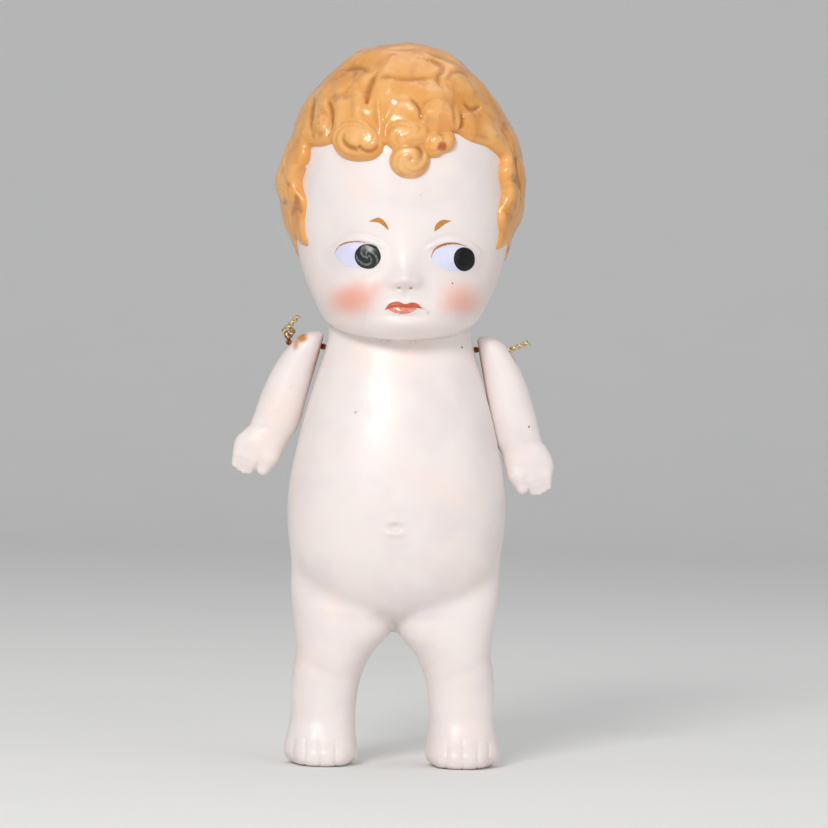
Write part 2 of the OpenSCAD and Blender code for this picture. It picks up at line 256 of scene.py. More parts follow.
def edges_of(faces: Array) -> tuple[Array, Array]:
    """Args:
        faces: Triangles.

    Returns:
        The edges, each once, and for each triangle the numbers of its edges 01, 12 and 20.
    """
    pairs = np.sort(faces[:, [[0, 1], [1, 2], [2, 0]]].reshape(-1, 2), axis=1).astype(np.int64)
    span = faces.max() + 1
    keys, back = np.unique(pairs[:, 0] * span + pairs[:, 1], return_inverse=True)
    return np.stack([keys // span, keys % span], 1), back.reshape(-1, 3)


def split(net: Net, size_at: FieldOf) -> tuple[Net, bool]:
    """Cuts every edge longer than 4/3 of the size wanted there, and the triangles beside it.

    Args:
        net: The net.
        size_at: Edge length wanted at a point.

    Returns:
        The finer net, and whether anything was cut.
    """
    p, f = net.points, net.faces
    edges, of_face = edges_of(f)
    middle = (p[edges[:, 0]] + p[edges[:, 1]]) / 2
    long = np.linalg.norm(p[edges[:, 0]] - p[edges[:, 1]], axis=1) > size_at(middle) * 4 / 3
    if not long.any():
        return net, False
    new = np.full(len(edges), -1)
    new[long] = len(p) + np.arange(long.sum())
    m = new[of_face]
    cuts = (m >= 0).sum(1)
    out = [f[cuts == 0]]
    for turn in range(3):
        order = [(turn + k) % 3 for k in range(3)]
        g, e = f[:, order], m[:, order]
        one = (cuts == 1) & (e[:, 0] >= 0)
        a, b, c, ab = *g[one].T, e[one, 0]
        out += [np.stack([a, ab, c], 1), np.stack([ab, b, c], 1)]
        two = (cuts == 2) & (e[:, 2] < 0)
        a, b, c, ab, bc = *g[two].T, e[two, 0], e[two, 1]
        out += [np.stack([ab, b, bc], 1), np.stack([a, ab, bc], 1), np.stack([a, bc, c], 1)]
    a, b, c = f[cuts == 3].T
    ab, bc, ca = m[cuts == 3].T
    out += [np.stack(t, 1) for t in ((a, ab, ca), (ab, b, bc), (ca, bc, c), (ab, bc, ca))]
    return Net(np.concatenate([p, middle[long]]), np.concatenate(out)), True


def relax(net: Net, inside: FieldOf, rounds: int) -> Net:
    """Evens a net out: each point slides along the surface half-way to the mean of its
    neighbours, and is settled again."""
    edges, _ = edges_of(net.faces)
    a, b = edges.T
    n = len(net.points)
    share = np.bincount(a, minlength=n) + np.bincount(b, minlength=n)
    p = net.points
    for _ in range(rounds):
        mean = np.stack(
            [np.bincount(a, p[b, k], n) + np.bincount(b, p[a, k], n) for k in range(3)], 1
        ) / share[:, None]
        g = gradient(inside, p, inside(p))
        g /= np.maximum(np.linalg.norm(g, axis=1), 1e-9)[:, None]
        move = 0.5 * (mean - p)
        p = settle(p + move - (move * g).sum(1)[:, None] * g, inside, 1)
    return Net(p, net.faces)


def skin(inside: FieldOf, low: Array, high: Array, step: float, size_at: FieldOf) -> Net:
    """A net over a field, cut until every edge has about the size wanted there, then evened.

    Args:
        inside: The field.
        low: Lowest corner of the box that holds the shape.
        high: Highest corner.
        step: Cell size of the first, coarse net.
        size_at: Edge length wanted at a point.

    Returns:
        The finished net.
    """
    coarse = 1.0
    net = net_over(inside, low, high, step)
    net = relax(Net(settle(net.points, inside, 2), net.faces), inside, 2)
    for _ in range(6):
        net, more = split(net, lambda p: size_at(p) * coarse)
        if not more:
            break
        net = Net(settle(net.points, inside, 1), net.faces)
    net = relax(net, inside, 2)
    return Net(settle(net.points, inside, 2), net.faces)


# --- Into Blender -----------------------------------------------------------------------


def to_mesh(name: str, net: Net, attributes: dict[str, Array] | None = None) -> bpy.types.Object:
    """Makes a smooth-shaded object of a net.

    Args:
        name: Name of the piece.
        net: Its net, in millimetres.
        attributes: Values for each point, by the name that its finish reads.

    Returns:
        The object, at the origin, in metres.
    """
    mesh = bpy.data.meshes.new(name)
    n, m = len(net.points), len(net.faces)
    mesh.vertices.add(n)
    mesh.vertices.foreach_set("co", (net.points * MM).astype(np.float32).ravel())
    mesh.loops.add(3 * m)
    mesh.loops.foreach_set("vertex_index", net.faces.astype(np.int32).ravel())
    mesh.polygons.add(m)
    mesh.polygons.foreach_set("loop_start", np.arange(0, 3 * m, 3, dtype=np.int32))
    mesh.polygons.foreach_set("loop_total", np.full(m, 3, np.int32))
    mesh.update(calc_edges=True)
    mesh.validate()
    mesh.polygons.foreach_set("use_smooth", np.ones(len(mesh.polygons), bool))
    for key, values in (attributes or {}).items():
        made = mesh.attributes.new(key, "FLOAT", "POINT")
        made.data.foreach_set("value", values.astype(np.float32))
    piece = bpy.data.objects.new(name, mesh)
    bpy.context.scene.collection.objects.link(piece)
    log.info("%s: %d triangles", name, m)
    return piece


def grid_faces(rows: int, columns: int, around: bool) -> Array:
    """Triangles over a grid of points, numbered along its rows.

    Args:
        rows: Number of rows.
        columns: Number of points in a row.
        around: True if each row closes on itself.

    Returns:
        Two triangles for each square of the grid.
    """
    i, j = np.meshgrid(np.arange(rows - 1), np.arange(columns - (not around)), indexing="ij")
    a, b = i * columns + j, i * columns + (j + 1) % columns
    c, d = b + columns, a + columns
    faces = np.stack([np.stack([a, b, c], -1), np.stack([a, c, d], -1)], -2)
    return faces.reshape(-1, 3)


def fan(tip: int, ring: Array) -> Array:
    """Triangles from one point to each side of a closed ring, all given by number."""
    return np.stack([np.full(len(ring), tip), ring, np.roll(ring, -1)], 1)


# --- Finishes ---------------------------------------------------------------------------


def linear(hex_colour: str) -> tuple[float, float, float, float]:
    """Turns an sRGB hex colour such as "F0E6E4" to linear light, with alpha 1."""
    srgb = np.array([int(hex_colour[i : i + 2], 16) for i in (0, 2, 4)]) / 255
    light = np.where(srgb <= 0.04045, srgb / 12.92, ((srgb + 0.055) / 1.055) ** 2.4)
    return (*light.tolist(), 1.0)


class Finish:
    """A material under construction: its node tree, its Principled shader, and what is laid on."""

    def __init__(self, name: str, **sockets: object) -> None:
        """Args:
            name: Name of the real finish.
            sockets: Plain values for the shader's sockets, with _ for a space.
        """
        self.material = bpy.data.materials.new(name)
        self.material.use_nodes = True
        self.tree = self.material.node_tree
        self.shader = self.tree.nodes["Principled BSDF"]
        for key, value in sockets.items():
            self.shader.inputs[key.replace("_", " ")].default_value = value
        self.place = self.add("ShaderNodeTexCoord").outputs["Object"]

    def add(self, kind: str, settings: dict | None = None, **links: object) -> bpy.types.Node:
        """Adds one node.

        Args:
            kind: Its Blender type.
            settings: Properties of the node to set.
            links: For each input, by name with _ for a space or i0, i1 for its number, a
                socket to link or a plain value.

        Returns:
            The node.
        """
        node = self.tree.nodes.new(kind)
        for key, value in (settings or {}).items():
            setattr(node, key, value)
        for key, value in links.items():
            number = key[0] == "i" and key[1:].isdigit()
            socket = node.inputs[int(key[1:]) if number else key.replace("_", " ")]
            if isinstance(value, bpy.types.NodeSocket):
                self.tree.links.new(value, socket)
            else:
                socket.default_value = value
        return node

    def noise(self, size_mm: float, detail: float = 2.0, stretch: tuple | None = None) -> object:
        """Noise whose blotches are about size_mm across, as a value near 0..1."""
        place = self.place
        if stretch:
            place = self.add("ShaderNodeMapping", None, Vector=place, Scale=stretch).outputs[0]
        made = self.add(
            "ShaderNodeTexNoise", None, Vector=place, Scale=1 / (size_mm * MM), Detail=detail
        )
        return made.outputs["Fac"]

    def ramp(self, value: object, low: float, high: float) -> object:
        """value eased from 0 at low to 1 at high, or the other way if low is the higher."""
        return self.add(
            "ShaderNodeMapRange",
            {"interpolation_type": "SMOOTHSTEP"},
            Value=value,
            From_Min=low,
            From_Max=high,
        ).outputs[0]

    def maths(self, operation: str, a: object, b: object, c: float = 0.5) -> object:
        """One sum, product or other operation on two values, or on three."""
        return self.add("ShaderNodeMath", {"operation": operation}, i0=a, i1=b, i2=c).outputs[0]

    def share(self, value: object, low: float, high: float, most: float) -> object:
        """The value's ramp from low to high, times `most`."""
        return self.maths("MULTIPLY", self.ramp(value, low, high), most)

    def ragged(self, name: str, waves: object, depth: float) -> object:
        """The piece's attribute of that name, plus `depth` times some noise."""
        return self.maths("ADD", self.attribute(name), self.maths("MULTIPLY", waves, depth))

    def attribute(self, name: str) -> object:
        """The piece's own attribute of that name."""
        return self.add("ShaderNodeAttribute", {"attribute_name": name}).outputs["Fac"]

    def over(self, under: object, colour: object, share: object, blend: str = "MIX") -> object:
        """Lays a colour over another.

        Args:
            under: The colour beneath, as a socket or an sRGB hex value.
            colour: The colour laid on, as a socket or an sRGB hex value.
            share: How much of it shows.
            blend: Blender's blend type.

        Returns:
            The mixed colour's socket.
        """
        a, b = (linear(c) if isinstance(c, str) else c for c in (under, colour))
        kind = {"data_type": "RGBA", "blend_type": blend}
        return self.add("ShaderNodeMix", kind, i0=share, i6=a, i7=b).outputs[2]

    def feed(self, socket: str, value: object) -> None:
        """Links a value to one of the shader's sockets."""
        self.tree.links.new(value, self.shader.inputs[socket])

    def bump(self, height: object, depth_mm: float, before: object | None = None) -> object:
        """Raises the surface by depth_mm where height is 1.

        Args:
            height: Value from 0 to 1.
            depth_mm: Height of the relief.
            before: Normal of a coarser relief to build on.

        Returns:
            The normal's socket.
        """
        links = {"Height": height, "Distance": depth_mm * MM, "Strength": 1.0}
        if before is not None:
            links["Normal"] = before
        return self.add("ShaderNodeBump", None, **links).outputs[0]

    def dress(self, *pieces: bpy.types.Object) -> None:
        """Puts the material on pieces, in place of any other."""
        for piece in pieces:
            piece.data.materials.clear()
            piece.data.materials.append(self.material)


@dataclass(frozen=True)
class Bisque:
    """Unglazed bisque porcelain, fired twice and left matt.

    It is white with a faint pink cast, slightly translucent, with a fine eggshell tooth, and
    handling has left it with a dull shine, kiln specks and some grey-brown grime. The same
    grey-brown is laid into the jaw crease, toe grooves, nostrils and fork as painted shade.
    """

    body: str = "F0E6E3"
    cool: str = "EADFDE"
    warm: str = "F2E3DC"
    dirt_and_shade: str = "8A6F5C"
    rust: str = "D08222"
    blush: str = "E98C6C"
    speck: str = "6A5A55"
    tooth_mm: float = 0.16
    patch_mm: float = 9.0

    def make(self) -> Finish:
        """Returns:
            The finish. It reads the attributes blush, dirt, rust and speck.
        """
        f = Finish(
            "unglazed bisque porcelain",
            Roughness=0.4,
            IOR=1.5,
            Subsurface_Weight=0.22,
            Subsurface_Radius=(1.0, 0.62, 0.5),
            Subsurface_Scale=0.0016,
        )
        patches = f.noise(self.patch_mm, 3)
        colour = f.over(self.body, self.cool, f.ramp(patches, 0.42, 0.7))
        colour = f.over(colour, self.warm, f.ramp(f.noise(self.patch_mm * 1.7, 2), 0.5, 0.75))
        ragged = f.maths("MULTIPLY", f.maths("SUBTRACT", f.noise(0.9, 4), 0.5), 0.5)
        blush = f.ragged("blush", ragged, 0.25)
        colour = f.over(colour, self.blush, f.share(blush, 0.05, 1.0, 0.72))
        # Grey-brown laid on from the attribute: real grime and stains, plus painted shade in the
        # jaw crease, toe grooves, nostrils and fork.
        dirt_and_shade = f.maths("ADD", f.attribute("dirt_and_shade"), ragged)
        colour = f.over(colour, self.dirt_and_shade, f.share(dirt_and_shade, 0.12, 1.0, 0.75))
        rust = f.ramp(f.maths("ADD", f.attribute("rust"), ragged), 0.2, 0.95)
        colour = f.over(colour, self.rust, rust)
        colour = f.over(colour, self.speck, f.ramp(f.attribute("speck"), 0.35, 0.7))
        f.feed("Base Color", colour)
        f.feed("Roughness", f.maths("MULTIPLY_ADD", f.noise(2.4, 3), 0.14, 0.31))
        tooth = f.bump(f.noise(self.tooth_mm, 2), 0.004)
        f.feed("Normal", f.bump(f.noise(3.5, 2), 0.03, tooth))
        return f


@dataclass(frozen=True)
class GlazedHair:
    """Ochre china paint under a thin clear glaze, over moulded curls.

    The glaze gives sharp little highlights on the curls. The paint lies thin and pale on the
    ridges, with a painted highlight on top, pools orange-brown in the grooves, with painted shade
    on top, and has run into a few darker blots and white chips.
    """

    paint: str = "E59F4C"
    thin: str = "F1BC78"
    shade: str = "CF8036"
    pooled_paint_and_shade: str = "A9601E"
    blot: str = "C05E1E"
    chip: str = "F1E4DC"

    def make(self) -> Finish:
        """Returns:
            The finish. It reads the attributes groove, ridge, blot and chip.
        """
        f = Finish(
            "ochre china paint under clear glaze",
            Roughness=0.36,
            IOR=1.5,
            Coat_Weight=0.55,
            Coat_Roughness=0.16,
            Coat_IOR=1.5,
            Subsurface_Weight=0.08,
            Subsurface_Radius=(1.0, 0.6, 0.3),
            Subsurface_Scale=0.001,
        )
        streaks = f.noise(1.3, 4)
        wash = f.noise(6.0, 3)
        colour = f.over(self.paint, self.thin, f.share(wash, 0.4, 0.75, 0.6))
        brush = f.noise(2.6, 5, (1.0, 1.0, 0.35))
        colour = f.over(colour, self.shade, f.share(brush, 0.5, 0.68, 0.5))
        # Lighter towards the ridges: paint worn thin there, plus a painted highlight.
        ridge = f.ragged("ridge", streaks, 0.35)
        colour = f.over(colour, self.thin, f.share(ridge, 0.6, 1.3, 0.6))
        # Darker in the grooves: paint pooled there, plus painted shade.
        groove = f.ragged("groove", streaks, 0.6)
        colour = f.over(colour, self.pooled_paint_and_shade, f.share(groove, 0.35, 1.25, 0.85))
        colour = f.over(colour, self.blot, f.ramp(f.attribute("blot"), 0.3, 0.9))
        colour = f.over(colour, self.chip, f.ramp(f.attribute("chip"), 0.45, 0.6))
        f.feed("Base Color", colour)
        f.feed("Normal", f.bump(f.noise(0.8, 3), 0.03))
        return f


@dataclass(frozen=True)
class ChinaPaint:
    """A spot of china paint fired on to the bisque: slightly raised, even in colour and glossy,
    with faint brush streaks."""

    name: str
    colour: str
    streak: str
    roughness: float = 0.25
    streak_mm: float = 0.5
    streak_share: float = 0.6
    coat: float = 0.3
    shine: float = 0.5
    swirl: bool = False

    def make(self) -> Finish:
        """Returns:
            The finish.
        """
        f = Finish(
            self.name,
            Roughness=self.roughness,
            IOR=1.5,
            Coat_Weight=self.coat,
            Coat_Roughness=0.08,
            Specular_IOR_Level=self.shine,
        )
        streaks = f.ramp(f.noise(self.streak_mm, 4), 0.45, 0.72)
        if self.swirl:
            turned = f.maths("ADD", f.attribute("swirl"), f.noise(self.streak_mm, 4))
            streaks = f.ramp(turned, 1.05, 1.6)
        share = f.maths("MULTIPLY", streaks, self.streak_share)
        f.feed("Base Color", f.over(self.colour, self.streak, share))
        f.feed("Normal", f.bump(f.noise(self.streak_mm * 0.6, 3), 0.012))
        return f


@dataclass(frozen=True)
class RustyIron:
    """Drawn iron wire, bright only at its frayed tips, under flaking orange and brown rust."""

    metal: str = "DDCFAE"
    brown: str = "6E3420"
    orange: str = "C0762E"
    flake_mm: float = 0.35

    def make(self) -> Finish:
        """Returns:
            The finish. It reads the attribute bright, which is 1 at the cut ends.
        """
        f = Finish("drawn iron wire with flaking rust", Roughness=0.7)
        flakes = f.noise(self.flake_mm, 5)
        colour = f.over(self.brown, self.orange, f.ramp(flakes, 0.42, 0.62))
        patches = f.maths("MULTIPLY", f.maths("SUBTRACT", f.noise(0.45, 4), 0.58), 2.2)
        clear = f.maths("ADD", f.attribute("bright"), patches)
        clean = f.ramp(clear, 0.05, 0.35)
        f.feed("Base Color", f.over(colour, self.metal, clean))
        f.feed("Metallic", f.maths("MULTIPLY", clean, 0.9))
        f.feed("Roughness", f.maths("MULTIPLY_ADD", clean, -0.42, 0.78))
        f.feed("Normal", f.bump(flakes, 0.05))
        return f


# --- Tapering forms ---------------------------------------------------------------------


class Loft:
    """A form through stations along one axis, each a superellipse with its own reach to the front
    and to the back."""

    def __init__(self, stations: list[tuple[float, ...]], square: float = 2.2) -> None:
        """Args:
            stations: Rows of height, half width, reach to the front (-Y), reach to the back, and,
                if the form leans, its middle in x and in y.
            square: 2 for an ellipse, more for a fuller one.
        """
        rows = np.array([list(s) + [0.0] * (6 - len(s)) for s in stations])
        rows[:, 1:4] **= 2
        self.low, self.high = rows[0, 0], rows[-1, 0]
        self.z = np.linspace(self.low, self.high, 1200)
        table = curve(rows, self.z)
        table[:, :3] = np.sqrt(np.maximum(table[:, :3], 1e-4))
        self.table = table
        self.rate = np.gradient(table, self.z, axis=0)
        self.square = square

    def read(self, z: Array) -> tuple[Array, Array]:
        """Args:
            z: Heights.

        Returns:
            Half width, front, back, middle x and middle y at each height, and their slopes.
        """
        t = np.clip((z - self.low) / (self.high - self.low), 0, 1) * (len(self.z) - 1)
        i = np.minimum(t.astype(int), len(self.z) - 2)
        s = (t - i)[:, None]
        return self.table[i] * (1 - s) + self.table[i + 1] * s, self.rate[i]

    def __call__(self, p: Array) -> Array:
        """Args:
            p: Points.

        Returns:
            About the distance from each point to the form: (q - 1) / |slope of q|, where
            q = (|x/w|^s + |y/r|^s)^(1/s), and outside no less than 0.3 of the way in to it.
        """
        z = np.clip(p[:, 2], self.low, self.high)
        row, rate = self.read(z)
        x, y = p[:, 0] - row[:, 3], p[:, 1] - row[:, 4]
        ahead = y < 0
        w, r = row[:, 0], np.where(ahead, row[:, 1], row[:, 2])
        dw, dr = rate[:, 0], np.where(ahead, rate[:, 1], rate[:, 2])
        s = self.square
        ax, ay = np.abs(x) / w + 1e-6, np.abs(y) / r + 1e-6
        q = (ax**s + ay**s) ** (1 / s)
        k = q ** (1 - s)
        qx, qy = k * ax ** (s - 1) / w, k * ay ** (s - 1) / r
        lean = qx * np.sign(x) * rate[:, 3] + qy * np.sign(y) * rate[:, 4]
        qz = -k * (ax**s * dw / w + ay**s * dr / r) - lean
        side = (q - 1) / np.sqrt(qx**2 + qy**2 + qz**2 + 1e-9)
        side = np.where(q > 1, np.maximum(side, 0.3 * np.hypot(x, y) * (1 - 1 / q)), side)
        beyond = np.abs(p[:, 2] - z)
        return np.where(beyond > 0, np.hypot(np.maximum(side, 0), beyond), side)


def capsule(p: Array, a: Array, b: Array, ra: float, rb: float) -> Array:
    """Distance to a rod from a to b whose radius goes from ra to rb: the distance to the
    nearest point of the line between them, less the radius there."""
    ab = np.array(b) - np.array(a)
    t = np.clip((p - a) @ ab / (ab @ ab), 0, 1)
    return np.linalg.norm(p - a - t[:, None] * ab, axis=1) - (ra + (rb - ra) * t)


# --- The figure -------------------------------------------------------------------------


@dataclass
class Proportions:
    """Main sizes of the doll in millimetres, read from the frame."""

    height: float
    head_w: float
    shoulder_y: float
    shoulder_z: float
    neck_z: float = field(init=False)
    head_h: float = 50.0
    fork_h: float = 25.4
    cheek_w: float = 34.6
    hair_t: float = 3.0
    belly_w: float = 39.2
    face_x: float = 0.75

    def __post_init__(self) -> None:
        """Places the crease under the jaw below the crown by the height of the head."""
        self.neck_z = self.height - self.head_h

    def off_axis(self, p: Array) -> Array:
        """How far points are from the straight line of the wire through the shoulders."""
        return np.hypot(p[:, 1] - self.shoulder_y, p[:, 2] - self.shoulder_z)

    def over_neck(self, p: Array) -> Array:
        """Points with their heights counted from the crease under the jaw."""
        return p - np.array([0.0, 0.0, self.neck_z])

    @classmethod
    def of_frame(cls, joints: list[dict]) -> "Proportions":
        """Args:
            joints: The frame's joints.

        Returns:
            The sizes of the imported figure, with the wire's axis from its joint.
        """
        low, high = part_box("figure")
        at = next(j for j in joints if j["name"] == "left_arm_swing")["pos_m"]
        return cls(
            height=high.z / MM,
            head_w=(high.x - low.x) / MM,
            shoulder_y=at[1] / MM,
            shoulder_z=at[2] / MM,
        )


@dataclass
class Face:
    """The moulding of the face, seen from the front: x to the doll's left, z up."""

    size: Proportions
    eye_right: float = -7.7
    eye_left: float = 9.15
    eye_z: float = 90.85
    nose_z: float = 86.6
    mouth_z: float = 81.75
    chin_z: float = 79.0

    def relief(self, p: Array) -> Array:
        """Args:
            p: Points.

        Returns:
            How far the skin stands out there: a sum of soft hills and hollows for the brow,
            eyes, nose, lips, cheeks and chin, faded out towards the sides of the head.
        """
        x, z = p[:, 0] - self.size.face_x, p[:, 2]
        out = np.zeros(len(p))
        for eye in (self.eye_right, self.eye_left):
            dx, dz = p[:, 0] - eye, z - self.eye_z
            out -= 0.95 * bump(dx, dz - 0.4, 6.0, 4.2)
            out += 1.15 * np.clip(1 - (dx / 6.0) ** 2 - ((dz + 0.1) / 4.3) ** 2, 0, 1) ** 1.8
            arc = dz - 3.05 + 0.075 * dx**2
            out += 0.30 * np.exp(-((arc / 0.5) ** 2)) * smooth_step(5.6, 3.4, np.abs(dx))
            out -= 0.20 * np.exp(-(((arc - 0.75) / 0.34) ** 2)) * smooth_step(5.2, 3.0, np.abs(dx))
            out -= 0.16 * np.exp(-(((arc + 0.75) / 0.2) ** 2)) * smooth_step(4.6, 3.6, np.abs(dx))
        out += 0.45 * bump(x, z - 91.0, 2.4, 3.6)
        out += 1.10 * bump(x, z - self.nose_z - 1.2, 2.1, 2.4)
        out += 1.35 * bump(x, z - self.nose_z + 0.1, 2.2, 1.25)
        for way in (-1, 1):
            out += 0.50 * bump(x - way * 2.2, z - self.nose_z + 0.35, 0.9, 0.9)
            out -= 0.38 * bump(x - way * 1.05, z - self.nose_z + 1.55, 0.36, 0.24)
            out += 0.95 * bump(x - way * 9.4, z - 83.4, 5.4, 4.0)
            out -= 0.26 * bump(x - way * 4.4, z - 84.6 + 0.2 * way, 1.2, 2.4)
        out -= 0.16 * bump(x, z - 84.0, 0.5, 0.8)
        mouth = x + 0.1
        lip = self.mouth_z + 0.62 - 0.035 * mouth**2
        out += 0.55 * np.exp(-(((z - lip) / 0.6) ** 2)) * smooth_step(3.9, 2.0, np.abs(mouth))
        out += 0.55 * bump(mouth + 0.1, z - self.mouth_z + 0.55, 2.2, 0.55)
        seam = np.exp(-(((z - self.mouth_z - 0.05 + 0.02 * mouth**2) / 0.15) ** 2))
        out -= 0.05 * seam * smooth_step(3.9, 2.6, np.abs(mouth))
        out -= 0.30 * bump(mouth, z - self.mouth_z + 1.5, 3.0, 0.5)
        out += 0.95 * bump(x, z - self.chin_z, 4.2, 1.7)
        return out * smooth_step(-2.0, -8.0, p[:, 1])


@dataclass
class Curl:
    """A tuft that winds inwards: a dome with a spiral groove in it."""

    radius: float
    height: float
    turns: float
    start: float
    way: int
    groove: float = 0.45

    def shape(self, u: Array, v: Array) -> tuple[Array, Array]:
        """Args:
            u: Places across, from the tuft's middle.
            v: Places up.

        Returns:
            The relief, height (1 - rho^2)^0.7 less the groove, and how deep in it each place
            is. The groove runs where turns x rho^0.85 + angle / 2 pi is a whole number and a half,
            and is narrow at its mouth and faint on half of its way round. Between its turns run
            fine strands, cos(8 pi x the same sum), a tenth of a millimetre deep.
        """
        rho = np.hypot(u, v) / self.radius
        angle = (np.arctan2(v, u) * self.way - self.start) / (2 * math.pi)
        phase = (self.turns * rho**0.85 + angle) % 1.0
        strands = 0.09 * np.cos(8 * math.pi * phase) * smooth_step(0.15, 0.5, rho)
        line = np.exp(-(((phase - 0.5) / (0.05 + 0.06 / (0.35 + rho))) ** 2))
        faint = 0.62 + 0.38 * np.cos(2 * math.pi * angle + 1.4)
        line *= smooth_step(0.12, 0.4, rho) * smooth_step(1.0, 0.72, rho) * faint
        line = np.maximum(line, 1.6 * max(self.groove - 0.2, 0) * smooth_step(0.24, 0.05, rho))
        dome = np.clip(1 - rho**2, 0, 1) ** 0.7
        relief = self.height * dome - (self.groove * line - strands) * dome**0.3
        return relief, np.maximum(line, np.clip(-4 * strands, 0, 1))


@dataclass
class FrontCurl:
    """A tuft pressed on to the brow, placed by where it is seen from the front."""

    x: float
    z: float
    curl: Curl
    stretch: float = 1.0


@dataclass
class Lock:
    """A lock or a groove drawn on the front of the hair along a smooth line."""

    points: tuple[tuple[float, float], ...]
    width: float
    height: float

    def shape(self, p: Array) -> Array:
        """Args:
            p: Points.

        Returns:
            exp(-(d / width)^2), with d the distance seen from the front to the line, and the
            width drawn in at both ends.
        """
        x, z = through(*self.points)(np.linspace(0, 1, 28))
        edge = 3 * self.width
        near = (p[:, 1] < 0) & (p[:, 0] > x.min() - edge) & (p[:, 0] < x.max() + edge)
        near &= (p[:, 2] > z.min() - edge) & (p[:, 2] < z.max() + edge)
        out = np.zeros(len(p))
        q = p[near]
        d = np.hypot(q[:, :1] - x, q[:, 2:] - z)
        k = d.argmin(1)
        width = self.width * np.clip(0.35 + 2.6 * np.minimum(k, 27 - k) / 27, 0, 1)
        out[near] = np.exp(-((d.min(1) / width) ** 2))
        return out


class HairMap:
    """The relief of the hair over every direction from the middle of the head.

    The map is a disc about the forward direction: a place in it is the angle from forwards,
    laid off towards where the direction points. Its values are worked out once.
    """

    def __init__(self, centre: Array, radii: Array, count: int, work: Callable) -> None:
        """Args:
            centre: Middle of the head.
            radii: Half sizes of the egg that the values are worked out on.
            count: Cells along each side of the map.
            work: Gives the values for points on the egg, as a list of arrays.
        """
        self.centre, self.count = centre, count
        a, b = np.meshgrid(*[np.linspace(-math.pi, math.pi, count)] * 2, indexing="ij")
        turn = np.hypot(a, b).ravel() + 1e-9
        direction = np.stack(
            [np.sin(turn) * a.ravel() / turn, -np.cos(turn), np.sin(turn) * b.ravel() / turn], 1
        )
        reach = 1 / np.linalg.norm(direction / radii, axis=1)
        used = turn < math.pi + 0.05
        values = work(centre + direction[used] * reach[used][:, None])
        self.table = np.zeros((count * count, len(values)))
        self.table[used] = np.stack(values, 1)
        self.table = self.table.reshape(count, count, -1)

    def read(self, p: Array) -> Array:
        """Args:
            p: Points.

        Returns:
            The values in each point's direction, from the four cells about it.
        """
        d = p - self.centre
        turn = np.arccos(np.clip(-d[:, 1] / (np.linalg.norm(d, axis=1) + 1e-9), -1, 1))
        flat = np.hypot(d[:, 0], d[:, 2]) + 1e-9
        step = 2 * math.pi / (self.count - 1)
        a = (turn * d[:, 0] / flat + math.pi) / step
        b = (turn * d[:, 2] / flat + math.pi) / step
        i, j = (np.clip(c.astype(int), 0, self.count - 2) for c in (a, b))
        s, t = (a - i)[:, None], (b - j)[:, None]
        low = self.table[i, j] * (1 - t) + self.table[i, j + 1] * t
        high = self.table[i + 1, j] * (1 - t) + self.table[i + 1, j + 1] * t
        return low * (1 - s) + high * s


